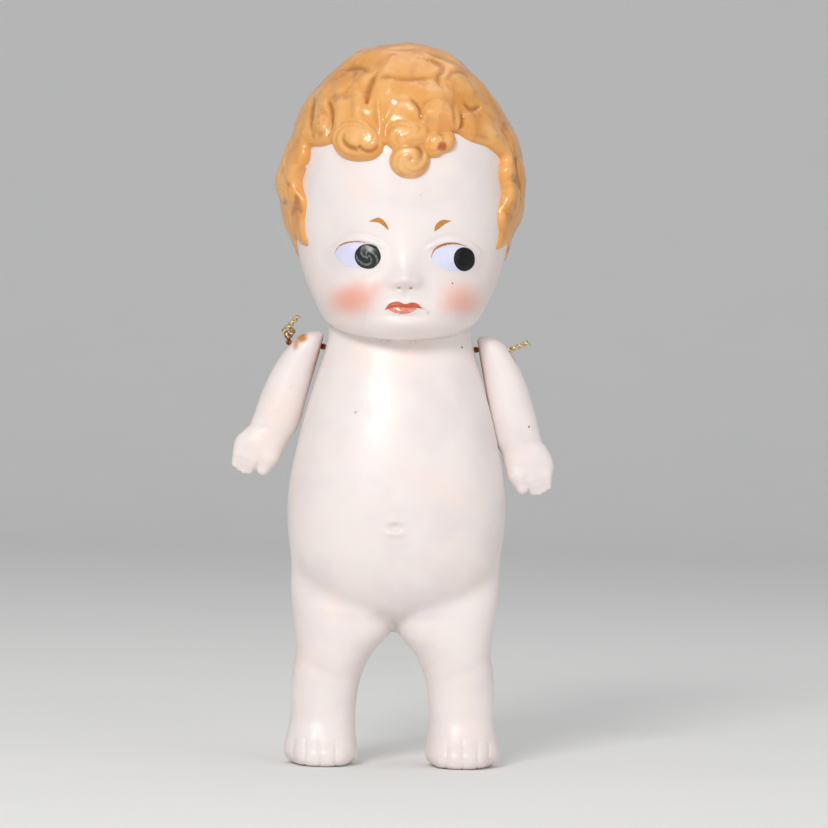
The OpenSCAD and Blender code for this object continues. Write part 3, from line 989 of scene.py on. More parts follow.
class Head:
    """Skull, face and moulded hair."""

    def __init__(self, size: Proportions) -> None:
        """Args:
            size: The doll's main sizes.
        """
        self.size = size
        self.face = Face(size)
        h, c, d, w = size.head_h, size.cheek_w / 2, 20.5, size.head_w / 2 - size.hair_t
        self.skull = Loft(
            [
                (-2.4, 1.0, 1.0, 1.0),
                (-1.9, c * 0.42, d * 0.52, d * 0.34),
                (-1.0, c * 0.66, d * 0.68, d * 0.46),
                (0.4, c * 0.79, d * 0.76, d * 0.54),
                (h * 0.06, c * 0.885, d * 0.825, d * 0.62),
                (h * 0.13, c * 0.98, d * 0.865, d * 0.73),
                (h * 0.24, (c + w) / 2 + 0.25, d * 0.885, d * 0.87),
                (h * 0.36, w, d * 0.885, d * 0.94),
                (h * 0.50, w * 1.005, d * 0.905, d * 0.955),
                (h * 0.64, w * 0.965, d * 0.875, d * 0.92),
                (h * 0.78, w * 0.80, d * 0.73, d * 0.78),
                (h * 0.90, w * 0.53, d * 0.49, d * 0.52),
                (h - 1.6, 0.4, 0.4, 0.4),
            ],
            2.15,
        )
        w, d = size.head_w / 2, 20.5
        self.cap = Loft(
            [
                (h * 0.02, w * 0.30, d * 0.10, d * 0.40),
                (h * 0.06, w * 0.52, d * 0.22, d * 0.62),
                (h * 0.14, w * 0.70, d * 0.42, d * 0.76),
                (h * 0.27, w * 0.84, d * 0.72, d * 0.90),
                (h * 0.37, w * 0.915, d * 0.88, d * 0.945),
                (h * 0.48, w * 0.955, d * 0.92, d * 0.955),
                (h * 0.60, w * 0.92, d * 0.925, d * 0.945),
                (h * 0.72, w * 0.832, d * 0.85, d * 0.87),
                (h * 0.82, w * 0.70, d * 0.725, d * 0.745),
                (h * 0.91, w * 0.495, d * 0.52, d * 0.535),
                (h * 0.97, w * 0.262, d * 0.285, d * 0.29),
                (h - 0.25, 0.3, 0.3, 0.3),
            ],
            2.1,
        )
        self.broad, self.fine = Noise(7), Noise(19)
        self.valley, self.tuft_count = -0.4, 150
        self.middle = np.array([0.0, 0.0, size.neck_z + 24])
        self.tuft_reach = np.array([22.0, 20.0, 25.8])
        self.fringe = self.fringe_curls()
        egg = np.array([size.head_w / 2, 20.0, 25.8])
        self.map = HairMap(self.middle, egg, 1500, self.work_out)

    def fringe_curls(self) -> list[FrontCurl]:
        """The ringlets along the brow, from the doll's right to its left."""
        return [
            FrontCurl(-14.8, 113.8, Curl(1.7, 1.15, 0.55, 1.0, -1, 0.5), 1.6),
            FrontCurl(-8.5, 111.5, Curl(4.7, 1.35, 1.2, 2.7, -1, 0.2), 0.86),
            FrontCurl(-6.5, 110.7, Curl(2.9, 1.35, 1.1, 2.72, -1, 0.2), 1.05),
            FrontCurl(0.7, 112.0, Curl(4.3, 1.35, 0.5, 0.4, -1, 0.1), 0.7),
            FrontCurl(1.2, 107.7, Curl(3.9, 1.7, 0.95, -0.1, -1, 0.5), 0.86),
            FrontCurl(5.6, 110.8, Curl(2.2, 1.3, 0.75, 1.0, 1, 0.3), 1.15),
            FrontCurl(7.5, 111.4, Curl(1.9, 1.1, 0.7, 2.4, -1, 0.25), 1.1),
        ]

    def locks(self) -> list[Lock]:
        """Locks, which stand out, and grooves, which have a negative height, over the brow."""
        return [
            Lock(((-4.6, 118.0), (-4.2, 113.5), (-3.9, 110.0), (-3.1, 106.6)), 0.75, 0.55),
            Lock(((-11.6, 119.5), (-11.2, 116.5), (-11.6, 113.2)), 1.1, 0.4),
            Lock(((-8.9, 119.4), (-8.3, 116.6), (-7.6, 113.8)), 1.0, 0.4),
            Lock(((-3.2, 114.6), (-1.8, 117.4), (1.2, 117.5), (3.4, 114.8)), 1.0, 0.45),
            Lock(((3.6, 114.4), (5.6, 116.2), (8.2, 115.8), (9.4, 113.6)), 1.1, 0.45),
            Lock(((12.5, 121.0), (8.5, 118.9), (4.5, 119.3)), 1.5, 0.35),
            Lock(((10.6, 115.6), (13.4, 115.0), (16.2, 113.0)), 1.3, 0.4),
            Lock(((-2.2, 125.8), (-3.2, 122.5), (-2.6, 119.8)), 1.6, 0.35),
            Lock(((8.4, 124.6), (10.6, 121.6), (13.8, 119.4)), 1.5, 0.35),
            Lock(((-14.2, 121.6), (-14.6, 119.0), (-13.8, 116.6)), 1.1, 0.35),
            Lock(((-11.4, 124.2), (-8.2, 124.6), (-6.3, 123.1)), 0.6, -0.4),
            Lock(((-5.0, 122.8), (-6.3, 119.9), (-6.6, 117.4)), 0.7, -0.45),
            Lock(((2.2, 126.0), (5.8, 125.1), (6.5, 123.8), (5.7, 122.3), (6.8, 120.1)), 0.5, -0.4),
            Lock(((10.5, 118.3), (12.2, 117.4), (13.7, 118.4)), 0.55, -0.4),
            Lock(
                ((4.4, 129.5), (9.5, 128.2), (13.3, 125.4), (16.4, 122.5), (18.2, 120.4)),
                0.6,
                -0.4,
            ),
            Lock(((0.6, 118.4), (2.4, 116.6), (2.9, 114.2)), 0.45, -0.35),
            Lock(((-13.3, 118.4), (-12.7, 115.4), (-13.4, 112.0)), 0.5, -0.45),
            Lock(((-16.2, 119.4), (-16.6, 115.8), (-16.2, 111.6)), 0.5, -0.45),
            Lock(((9.9, 116.2), (10.2, 114.6), (9.5, 113.0)), 0.45, -0.4),
        ]

    def tufts(self, p: Array, warp: Array) -> tuple[Array, Array]:
        """Args:
            p: Points on the egg of the hair's map.
            warp: How far each is pushed across and up, so that no tuft is quite regular.

        Returns:
            The height and the groove of the tufts round the head. They lie at even steps of a
            golden spiral, large and low over the crown, small and high at the sides and back.
        """
        height, groove = np.full(len(p), self.valley), np.zeros(len(p))
        rng = np.random.default_rng(12)
        for k in range(self.tuft_count):
            up = 1 - 2 * (k + 0.5) / self.tuft_count
            around = k * GOLDEN_TURN + rng.uniform(-0.12, 0.12)
            flat = math.sqrt(1 - up * up)
            way = np.array([flat * math.cos(around), flat * math.sin(around), up])
            at = self.middle + way * self.tuft_reach
            crown = smooth_step(112.0, 122.0, at[2:3])[0]
            front = at[1] < -5 and at[2] < 117 and abs(at[0]) < 17.5
            if front or at[2] < 84 or (crown > 0.6 and k % 2):
                continue
            radius = 3.7 + 2.3 * crown + rng.uniform(-0.4, 0.5)
            curl = Curl(
                radius,
                1.25 - 0.55 * crown,
                0.55 + 0.5 * rng.random(),
                rng.uniform(0, 6.28),
                int(rng.choice([-1, 1])),
                0.30 - 0.06 * crown,
            )
            lie = rng.uniform(0, math.pi)
            near = ((p - at) ** 2).sum(1) < (1.5 * radius) ** 2
            east = np.array([-way[1], way[0], 0.0]) / (flat + 1e-6)
            north = np.cross(way, east)
            d = p[near] - at
            u = (d @ (east * math.cos(lie) + north * math.sin(lie)) + warp[near, 0]) / 1.3
            v = d @ (north * math.cos(lie) - east * math.sin(lie)) + warp[near, 1]
            h, g = curl.shape(u, v)
            h = np.where(np.hypot(u, v) < radius, h - 0.25, BELOW)
            over = h > height[near]
            faded = groove[near] * smooth_step(0.0, 0.5, height[near] - h)
            groove[near] = np.where(over, g, faded)
            height[near] = smooth_max(height[near], h, 0.3)
        return height, np.maximum(groove, smooth_step(0.15, -0.3, height))

    def calmed(self, p: Array, height: Array, groove: Array) -> tuple[Array, Array]:
        """Turns the tufts into soft lumps with a few folds: almost wholly over the brow, by
        three quarters on the crown and by two fifths elsewhere.

        Args:
            p: Points.
            height: Height of the tufts.
            groove: How deep in a groove each point is.

        Returns:
            The height and the groove of the hair without its fringe.
        """
        height = height + 0.28 * self.broad(p / 6.5) + 0.10 * self.fine(p / 2.2)
        lumps = self.broad(p / 4.6 + 3) + 0.5 * self.broad(p / 2.4 + 17)
        front = smooth_step(1.0, -6.0, p[:, 1]) * smooth_step(21.0, 18.0, np.abs(p[:, 0]))
        crown = 0.75 * smooth_step(110.0, 119.0, p[:, 2])
        calm = np.maximum(np.maximum(front * smooth_step(102.0, 107.0, p[:, 2]), crown), 0.4)
        fold = np.exp(-((self.broad(p / 5.5 + 29) / 0.11) ** 2))
        fold *= smooth_step(-0.15, 0.4, self.broad(p / 6.0 + 41)) * calm
        lumpy = 0.5 + (0.42 - 0.17 * crown) * lumps
        height = height * (1 - 0.9 * calm) + calm * lumpy - 0.22 * fold
        groove = groove * (1 - 0.85 * calm) + 0.6 * fold
        groove = np.maximum(groove, 0.3 * calm * smooth_step(0.1, -0.9, lumps))
        height += 0.8 * bump(p[:, 1] + 1.0, p[:, 2] - 103.6, 9.0, 4.2) * (p[:, 0] < -10)
        height -= 0.45 * smooth_step(7.0, 13.0, p[:, 0]) * smooth_step(112.0, 118.0, p[:, 2])
        return height, groove

    def work_out(self, p: Array) -> list[Array]:
        """Args:
            p: Points on the egg of the hair's map.

        Returns:
            The height of the hair over the cap, how deep in a groove each point is, and how far
            inside the hair's outline.
        """
        warp = np.stack([self.broad(p / 4.0 + 5), self.broad(p / 4.0 + 11)], 1) * 0.9
        height, groove = self.calmed(p, *self.tufts(p, warp))
        for lock in self.locks():
            share = lock.shape(p)
            height += lock.height * share
            if lock.height < 0:
                groove = np.maximum(groove, 0.85 * share)
        for tuft in self.fringe:
            u, v = p[:, 0] - tuft.x, (p[:, 2] - tuft.z) / tuft.stretch
            h, g = tuft.curl.shape(u + 0.25 * warp[:, 0], v + 0.25 * warp[:, 1])
            on = (np.hypot(u, v) < tuft.curl.radius * 1.02) & (p[:, 1] < 0)
            h = np.where(on, h, BELOW)
            groove = np.where(h > height, np.maximum(g, 0.25 * groove), groove)
            height = smooth_max(height, h, 0.45)
        ripple = 1 - 2 * np.abs(self.fine(p / 1.5 + 40))
        height = smooth_max(height + 0.05 * ripple, np.full(len(p), -0.55), 0.3)
        return [height, groove, self.outline(p)]

    def outline(self, p: Array) -> Array:
        """Args:
            p: Points.

        Returns:
            How far each point is inside the hair's outline: outside a face window that is
            bounded at the temples by an azimuth and at the brow by a height, above a line that
            falls from the sideburns to the nape, or within a ringlet of the fringe.
        """
        azimuth = np.abs(np.arctan2(p[:, 0], -p[:, 1]))
        x, z = p[:, 0], p[:, 2]
        left = x > 0
        ripple = 0.55 * np.sin(z * 0.8 + np.where(left, 1.3, 0.2))
        temple = np.where(left, 21.8, 21.9) + ripple
        lobe = 0.8 * bump(z - 104.3, 0 * z, 2.6, 1.0) - 1.2 * smooth_step(106.5, 110.0, z)
        temple += np.where(left, 0.0, lobe)
        brow = np.where(left, 112.9, 110.8) + 0.25 * np.sin(x * 0.9)
        brow = brow - 0.36 * np.clip(x - 10, 0, 20)
        window = smooth_min(temple - 20.5 * azimuth, brow - z, 1.2)
        tip = [92.4, 91.8, 93.5, 91.0, 88.5, 85.5, 84.0]
        nape = np.interp(azimuth, [1.05, 1.22, 1.4, 1.6, 2.0, 2.5, 3.15], tip)
        nape = nape + 0.5 * np.sin(11 * azimuth)
        inside = smooth_min(-window, z - nape, 1.0)
        for tuft in self.fringe:
            rho = np.hypot(x - tuft.x, (z - tuft.z) / tuft.stretch)
            reach = np.where(p[:, 1] < 0, tuft.curl.radius - rho, -99.0)
            inside = smooth_max(inside, reach, 0.5)
        return inside

    def skin(self, p: Array) -> Array:
        """The head's bare skin: the skull's loft, tipped up under the jaw, less the relief."""
        q = self.size.over_neck(p)
        tilt = 0.17 * smooth_step(14.0, 2.0, q[:, 2])
        q[:, 2] -= tilt * p[:, 1]
        return self.skull(q) - self.face.relief(p)

    def hair(self, p: Array) -> Array:
        """The hair as a closed shell: under the cap with its locks or just over the skin, whichever
        is further out, inside the hair's outline with a rounded edge, and outside a core that
        lies under the skin."""
        q = self.size.over_neck(p)
        height, _, inside = self.map.read(p).T
        bare = self.skin(p)
        outer = smooth_min(self.cap(q) - height, bare - 0.45, 0.5)
        return np.maximum(smooth_max(outer, -inside, 1.4), -(bare + 1.1))

    def hair_marks(self, p: Array) -> dict[str, Array]:
        """Args:
            p: Points of the hair.

        Returns:
            The attributes groove, ridge, blot and chip.
        """
        height, groove, inside = self.map.read(p).T
        front = p[:, 1] < 0
        blots = [(-6.6, 118.1, 0.6), (1.2, 113.2, 0.25), (6.6, 110.2, 0.9), (-14.0, 104.0, 0.6)]
        chips = [(-1.8, 117.8, 0.6), (17.9, 119.0, 0.6), (-17.0, 106.6, 0.4)]
        wander = 0.5 * self.fine(p / 0.9)
        blot = sum(bump(p[:, 0] - x + wander, p[:, 2] - z, r, 1.2 * r) for x, z, r in blots) * front
        chip = sum(
            smooth_step(r, r * 0.7, np.hypot(p[:, 0] - x, p[:, 2] - z) + 0.12 * self.fine(p * 2.2))
            for x, z, r in chips
        )
        return {
            # Pooled paint and painted shade in the hollows.
            "groove": groove * smooth_step(0.0, 1.0, inside),
            # Thin paint and painted highlight on the high places.
            "ridge": np.clip(height * 0.6 + 0.2, 0, 1),
            "blot": blot,
            "chip": chip * front,
        }


class Trunk:
    """Trunk and legs, in one with each other."""

    def __init__(self, size: Proportions) -> None:
        """Args:
            size: The doll's main sizes.
        """
        self.size = size
        lo, h = size.fork_h, size.neck_z - size.fork_h
        w, f, b, n = size.belly_w / 2, 15.6, 11.0, 12.6
        self.trunk = Loft(
            [
                (lo - 0.6, 0.3, 1.0, 1.0),
                (lo - 0.1, w * 0.05, f * 0.14, b * 0.18),
                (lo + 1.0, w * 0.18, f * 0.28, b * 0.34),
                (lo + h * 0.05, w * 0.55, f * 0.55, b * 0.66),
                (lo + h * 0.13, w * 0.83, f * 0.78, b * 0.94),
                (lo + h * 0.24, w * 0.965, f * 0.93, b * 1.02),
                (lo + h * 0.41, w, f, b),
                (lo + h * 0.60, w * 0.915, f * 0.91, b * 0.98),
                (lo + h * 0.80, n + (w - n) * 0.35, f * 0.74, b * 0.95),
                (lo + h * 0.91, n + (w - n) * 0.10, f * 0.63, b * 0.88),
                (lo + h, n, f * 0.60, b * 0.84),
                (lo + h + 3.5, n - 0.6, f * 0.58, b * 0.80),
            ]
        )
        a, t, foot, s, ln = 5.85, 8.65, 6.85, 12.5, 16.6
        self.leg = Loft(
            [
                (0.0, foot - 2.2, ln * 0.46, ln * 0.32, s + 0.2),
                (0.45, foot - 1.2, ln * 0.50, ln * 0.36, s + 0.2),
                (1.4, foot - 0.35, ln * 0.52, ln * 0.39, s + 0.2),
                (2.8, foot - 0.2, ln * 0.51, ln * 0.40, s + 0.2),
                (lo * 0.20, foot - 0.6, ln * 0.43, ln * 0.40, s + 0.2),
                (lo * 0.33, a, ln * 0.35, ln * 0.375, s),
                (lo * 0.50, a + 0.1, ln * 0.34, ln * 0.38, s - 0.2),
                (lo * 0.65, a + 0.45, ln * 0.40, ln * 0.38, s - 0.7),
                (lo * 0.80, (a + t) / 2 - 0.3, ln * 0.45, ln * 0.42, s - 1.9),
                (lo * 0.94, t - 0.15, ln * 0.48, ln * 0.50, s - 3.15),
                (lo * 1.12, t + 0.5, ln * 0.46, ln * 0.60, s - 3.2),
                (lo * 1.32, t + 0.1, ln * 0.30, ln * 0.62, s - 2.6),
                (lo * 1.55, t - 1.2, ln * 0.16, ln * 0.48, s - 2.9),
                (lo * 1.75, t - 3.4, ln * 0.06, ln * 0.28, s - 3.5),
            ],
            2.35,
        )
        self.foot_x, self.foot_w = s + 0.2, 2 * foot
        self.toe_edges = [4.1, 6.9, 9.5, 11.6]

    def toes(self, q: Array) -> Array:
        """Args:
            q: Points, mirrored so that the foot is the left one.

        Returns:
            How far the toes stand out: five lobes (1 - u^2)^1/2 across the front of the foot,
            from the big one on the inside to the little one, less a mean.
        """
        x = q[:, 0] - (self.foot_x - self.foot_w / 2)
        edges = [0.0, *self.toe_edges, self.foot_w]
        out = np.zeros(len(q))
        for low, high in zip(edges[:-1], edges[1:]):
            u = (x - (low + high) / 2) / ((high - low) / 2)
            lobe = np.sqrt(np.clip(1 - u**2, 0, 1)) * min(1.0, 0.25 * (high - low) + 0.35)
            out = np.maximum(out, lobe)
        front = smooth_step(-3.5, -5.5, q[:, 1]) * smooth_step(6.8, 3.2, q[:, 2])
        return (0.4 * out**0.7 - 0.28 - 0.04 * x) * front

    def legs(self, p: Array) -> Array:
        """Both legs: each a leaning loft, with toes, a crease over the knee and rounded soles."""
        both = []
        for side in Side:
            q = p * np.array([side.value, 1.0, 1.0])
            leg = self.leg(q)
            front = q[:, 1] < 0
            leg -= 0.45 * bump(q[:, 0] - 12.4, q[:, 2] - 11.6, 3.4, 3.4) * front
            fold = q[:, 2] - 17.2 - 0.45 * (q[:, 0] - 13.0)
            leg += 0.32 * bump(q[:, 0] - 12.9, fold, 4.2, 1.2) * front
            leg -= self.toes(q)
            corner = smooth_step(3.2, 6.4, q[:, 0] - self.foot_x) + 0.5 * smooth_step(
                4.0, 6.6, self.foot_x - q[:, 0]
            )
            leg += 1.1 * corner * smooth_step(2.8, 0.2, q[:, 2]) * smooth_step(0.0, -4.0, q[:, 1])
            both.append(smooth_max(leg, 0.02 - q[:, 2], 0.3))
        return smooth_min(*both, 2.4)

    def body(self, p: Array) -> Array:
        """Trunk and legs blended where the belly lies on the thighs, less the navel."""
        trunk = self.trunk(p)
        legs = self.legs(p)
        apart = smooth_step(1.0, 5.0, np.abs(p[:, 0]))
        whole = smooth_min(trunk, legs, 1.4) * (1 - apart) + smooth_min(trunk, legs, 2.2) * apart
        dx, dz = p[:, 0] + 0.2, p[:, 2] - 43.2
        navel = 0.85 * bump(dx, dz, 1.05, 0.62) - 0.35 * bump(dx, dz + 1.15, 1.7, 0.6)
        navel -= 0.16 * bump(dx, dz - 1.05, 1.6, 0.6)
        cleft = 1.1 * np.exp(-((p[:, 0] / 0.85) ** 2)) * smooth_step(40.0, 33.0, p[:, 2])
        cleft *= smooth_step(24.5, 28.0, p[:, 2]) * (p[:, 1] > 0)
        return whole + navel * (p[:, 1] < 0) + cleft


class Figure:
    """The hollow casting: trunk, legs and head, with its hair and its painted face."""

    def __init__(self, size: Proportions) -> None:
        """Args:
            size: The doll's main sizes.
        """
        self.size = size
        self.head = Head(size)
        self.trunk = Trunk(size)
        self.bore = 0.84

    def field(self, p: Array) -> Array:
        """The whole skin: head and trunk meet in a tight crease, with the wire's hole through."""
        whole = smooth_min(self.head.skin(p), self.trunk.body(p), 0.55)
        axis = self.size.off_axis(p)
        hole = np.maximum(axis - self.bore, 9.5 - np.abs(p[:, 0]))
        return smooth_max(whole, -hole, 0.3)

    def size_at(self, p: Array) -> Array:
        """Edge length wanted on the skin: fine on the face, the toes, the navel and the crease,
        coarse where the skin is plain or hidden under the hair."""
        size = np.full(len(p), 0.95)
        face = self.head.face
        front = (p[:, 1] < -9) & (p[:, 2] > 78) & (p[:, 2] < 98) & (np.abs(p[:, 0]) < 15)
        size[front] = 0.42
        lips = (p[:, 1] < -9) & (np.hypot(p[:, 0] - self.size.face_x, (p[:, 2] - 84) * 0.75) < 5.2)
        size[lips] = 0.22
        for eye in (face.eye_right, face.eye_left):
            near = (p[:, 1] < -8) & (np.hypot(p[:, 0] - eye, p[:, 2] - face.eye_z - 0.6) < 6.2)
            size[near] = 0.27
        crease = np.abs(p[:, 2] - self.size.neck_z + 1.2) < 2.8
        size[crease] = np.minimum(size[crease], 0.5)
        toes = (p[:, 2] < 5) & (p[:, 1] < -4)
        size[toes] = 0.24
        navel = (p[:, 1] < -9) & (np.hypot(p[:, 0], p[:, 2] - 43) < 3.2)
        size[navel] = 0.3
        axis = self.size.off_axis(p)
        size[(axis < 2.2) & (np.abs(p[:, 0]) > 9)] = 0.3
        back = (p[:, 2] > 96) & (p[:, 1] > -6)
        size[back] = 1.6
        return size

    def marks(self, p: Array) -> dict[str, Array]:
        """Args:
            p: Points of the skin.

        Returns:
            The attributes blush, dirt, rust and speck.
        """
        x, z = p[:, 0], p[:, 2]
        front = smooth_step(-4.0, -8.0, p[:, 1])
        blush = 0.9 * bump(x + 8.6, z - 83.0, 4.6, 3.1)
        blush += 0.32 * bump(x + 4.8, z - 85.7, 3.4, 1.8)
        blush += 0.72 * bump(x - 10.6, z - 82.9, 4.6, 2.9)
        blush += 0.22 * bump(x - 10.0, z - 86.0, 4.6, 1.8)
        # Grey-brown along the crease under the jaw: some grime, and painted shade.
        gap = np.abs(self.head.skin(p)) + np.abs(self.trunk.trunk(p))
        crease = smooth_step(1.5, 0.1, gap) * (z < 84)
        hole = smooth_step(3.2, 0.6, self.size.off_axis(p)) * (np.abs(x) > 9)
        below = self.size.shoulder_z - z
        run = smooth_step(0.0, 1.5, below) * smooth_step(12.0, 2.0, below)
        run *= np.exp(-(((p[:, 1] - self.size.shoulder_y + 0.6) / 2.2) ** 2)) * (np.abs(x) > 11)
        # Grey-brown down the cleft between the legs: painted shade.
        fork_shade = np.exp(-((x / 1.4) ** 2)) * smooth_step(29.0, 25.0, z) * 0.5
        # Grey-brown in the grooves between the toes: painted shade.
        toes = smooth_step(0.9, 0.1, self.toe_gap(p)) * (z < 4.2) * (p[:, 1] < -6)
        smudge = 0.6 * bump(x - 4.1, z - 81.7 + 0.4 * (x - 4.1), 0.6, 0.24)
        smudge = (smudge + 0.45 * bump(x - 4.9, z - 81.0, 0.45, 0.45)) * front
        # Dark dashes in the nostril dents: painted shade.
        nostril_shade = sum(
            bump(x - self.size.face_x - w * 1.03, z - 85.25, 0.42, 0.22) for w in (-1, 1)
        )
        specks = [
            (11.2, 75.4, 0.22), (0.1, 58.2, 0.2), (-7.7, 63.3, 0.22), (16.1, 52.9, 0.2),
            (9.05, 86.3, 0.2), (-5.2, 71.0, 0.1), (6.1, 49.2, 0.12), (-11.0, 39.5, 0.14),
            (3.2, 101.5, 0.09), (-9.6, 100.2, 0.08), (-13.9, 21.0, 0.13), (13.6, 30.0, 0.12),
        ]
        speck = sum(bump(x - u, z - v, r, r) for u, v, r in specks) * (p[:, 1] < 0)
        stain = 0.28 * bump(x + 1.5, z - 33.2, 1.3, 0.8) * (p[:, 1] < 0)
        # Grime and painted shade in the jaw crease, painted shade in the toe grooves, nostrils and
        # fork, and the real brown paint smudge by the mouth.
        dirt_and_shade = 0.34 * crease + 0.2 * toes + smudge + 0.9 * nostril_shade * front + fork_shade
        return {
            "blush": np.clip(blush, 0, 1) * front,
            "dirt_and_shade": np.clip(dirt_and_shade, 0, 1),
            "rust": np.clip(hole + 0.75 * run + stain, 0, 1),
            "speck": speck,
        }

    def toe_gap(self, p: Array) -> Array:
        """How far across each point is from the nearest groove between two toes."""
        edges = self.trunk.foot_x - self.trunk.foot_w / 2 + np.array(self.trunk.toe_edges)
        return np.abs(np.abs(p[:, 0])[:, None] - edges[None]).min(1)

    def front_y(self, x: Array, z: Array) -> Array:
        """Finds the skin from the front.

        Args:
            x: Places across.
            z: Heights.

        Returns:
            For each, the y of the skin, stepped towards from the front by the field's value.
        """
        p = np.stack([x, np.full(len(x), -23.0), z], 1)
        for _ in range(24):
            p[:, 1] += 0.9 * self.head.skin(p)
        return p[:, 1]

    def build(self) -> dict[str, bpy.types.Object]:
        """Returns:
            The skin and the hair, by name.
        """
        low, high = np.array([-24.0, -22, -1.5]), np.array([24.0, 21.5, 130])
        body = skin(self.field, low, high, 1.25, self.size_at)
        low, high = np.array([-25.0, -24, 80]), np.array([25.0, 23, 132])
        hair = skin(self.head.hair, low, high, 0.8, self.hair_size)
        return {
            "doll_skin": to_mesh("doll_skin", body, self.marks(body.points)),
            "doll_hair": to_mesh("doll_hair", hair, self.head.hair_marks(hair.points)),
        }

    def hair_size(self, p: Array) -> Array:
        """Edge length wanted on the hair: fine on the brow's curls, fair elsewhere outside, and
        coarse on its hidden inner side."""
        size = np.full(len(p), 0.62)
        size[(p[:, 1] < -4) & (p[:, 2] < 118) & (p[:, 2] > 100)] = 0.32
        q = self.size.over_neck(p)
        size[self.head.skull(q) < -0.6] = 1.6
        return size


# --- The painted face -------------------------------------------------------------------


@dataclass
class Patch:
    """A spot of paint between two curves over the face, as a thin closed dome."""

    name: str
    lower: Callable[[Array], tuple[Array, Array]]
    upper: Callable[[Array], tuple[Array, Array]]
    thick: float = 0.05
    rows: int = 22
    columns: int = 60

    def build(self, figure: Figure) -> bpy.types.Object:
        """Lays the patch on the figure.

        A point at share t along and s across stands out by thick x (4 s (1 - s))^0.4 x
        (4 t (1 - t))^0.3 from the skin; the underside lies a little below the skin.

        Args:
            figure: The figure whose skin it lies on.

        Returns:
            The piece.
        """
        t = 0.5 - 0.5 * np.cos(np.linspace(0, math.pi, self.columns))
        s = 0.5 - 0.5 * np.cos(np.linspace(0, math.pi, self.rows))
        tt, ss = (a.ravel() for a in np.meshgrid(t, s, indexing="ij"))
        (lx, lz), (ux, uz) = self.lower(tt), self.upper(tt)
        x, z = lx + (ux - lx) * ss, lz + (uz - lz) * ss
        y = figure.front_y(x, z)
        rise = self.thick * (4 * ss * (1 - ss)) ** 0.4 * np.maximum(4 * tt * (1 - tt), 0) ** 0.3
        top = np.stack([x, y - rise, z], 1)
        under = np.stack([x, y + 0.05, z], 1)
        return to_mesh(self.name, closed_sheet(top, under, self.columns, self.rows))


def closed_sheet(top: Array, under: Array, rows: int, columns: int) -> Net:
    """Joins an upper and an under grid of points round their rim, facing outwards.

    Args:
        top: Points of the upper side, row by row.
        under: Points of the underside.
        rows: Number of rows.
        columns: Points in a row.

    Returns:
        The closed net.
    """
    n = rows * columns
    f = grid_faces(rows, columns, False)
    number = np.arange(n).reshape(rows, columns)
    rim = np.concatenate([number[0, :-1], number[:-1, -1], number[-1, :0:-1], number[:0:-1, 0]])
    after = np.roll(rim, -1)
    wall = np.concatenate(
        [np.stack([rim, rim + n, after + n], 1), np.stack([rim, after + n, after], 1)]
    )
    faces = np.concatenate([f, f[:, ::-1] + n, wall])
    return Net(np.concatenate([top, under]), faces).outward()


def through(*points: tuple[float, float]) -> Callable[[Array], tuple[Array, Array]]:
    """A smooth curve through points in x and z, as a function of the share run along it."""
    knots = np.array([(k / (len(points) - 1), *p) for k, p in enumerate(points)])

    def at(t: Array) -> tuple[Array, Array]:
        """Returns x and z at share t."""
        values = curve(knots, t)
        return values[:, 0], values[:, 1]

    return at


def stroke(points: tuple[tuple[float, float], ...], widths: tuple[float, ...]) -> tuple:
    """The two edges of a brush stroke.

    Args:
        points: Places along its middle.
        widths: Half width at each.

    Returns:
        Its lower and its upper edge, each the middle moved square to its run by the half width.
    """
    middle = through(*points)
    half = np.array([(k / (len(widths) - 1), w) for k, w in enumerate(widths)])

    def edge(way: int) -> Callable[[Array], tuple[Array, Array]]:
        """Returns the edge on one side."""

        def at(t: Array) -> tuple[Array, Array]:
            """Returns x and z at share t."""
            x, z = middle(t)
            x2, z2 = middle(np.clip(t + 0.01, 0, 1))
            x1, z1 = middle(np.clip(t - 0.01, 0, 1))
            run = np.hypot(x2 - x1, z2 - z1) + 1e-9
            w = curve(half, t)[:, 0] * way
            return x - w * (z2 - z1) / run, z + w * (x2 - x1) / run

        return at

    return edge(-1), edge(1)


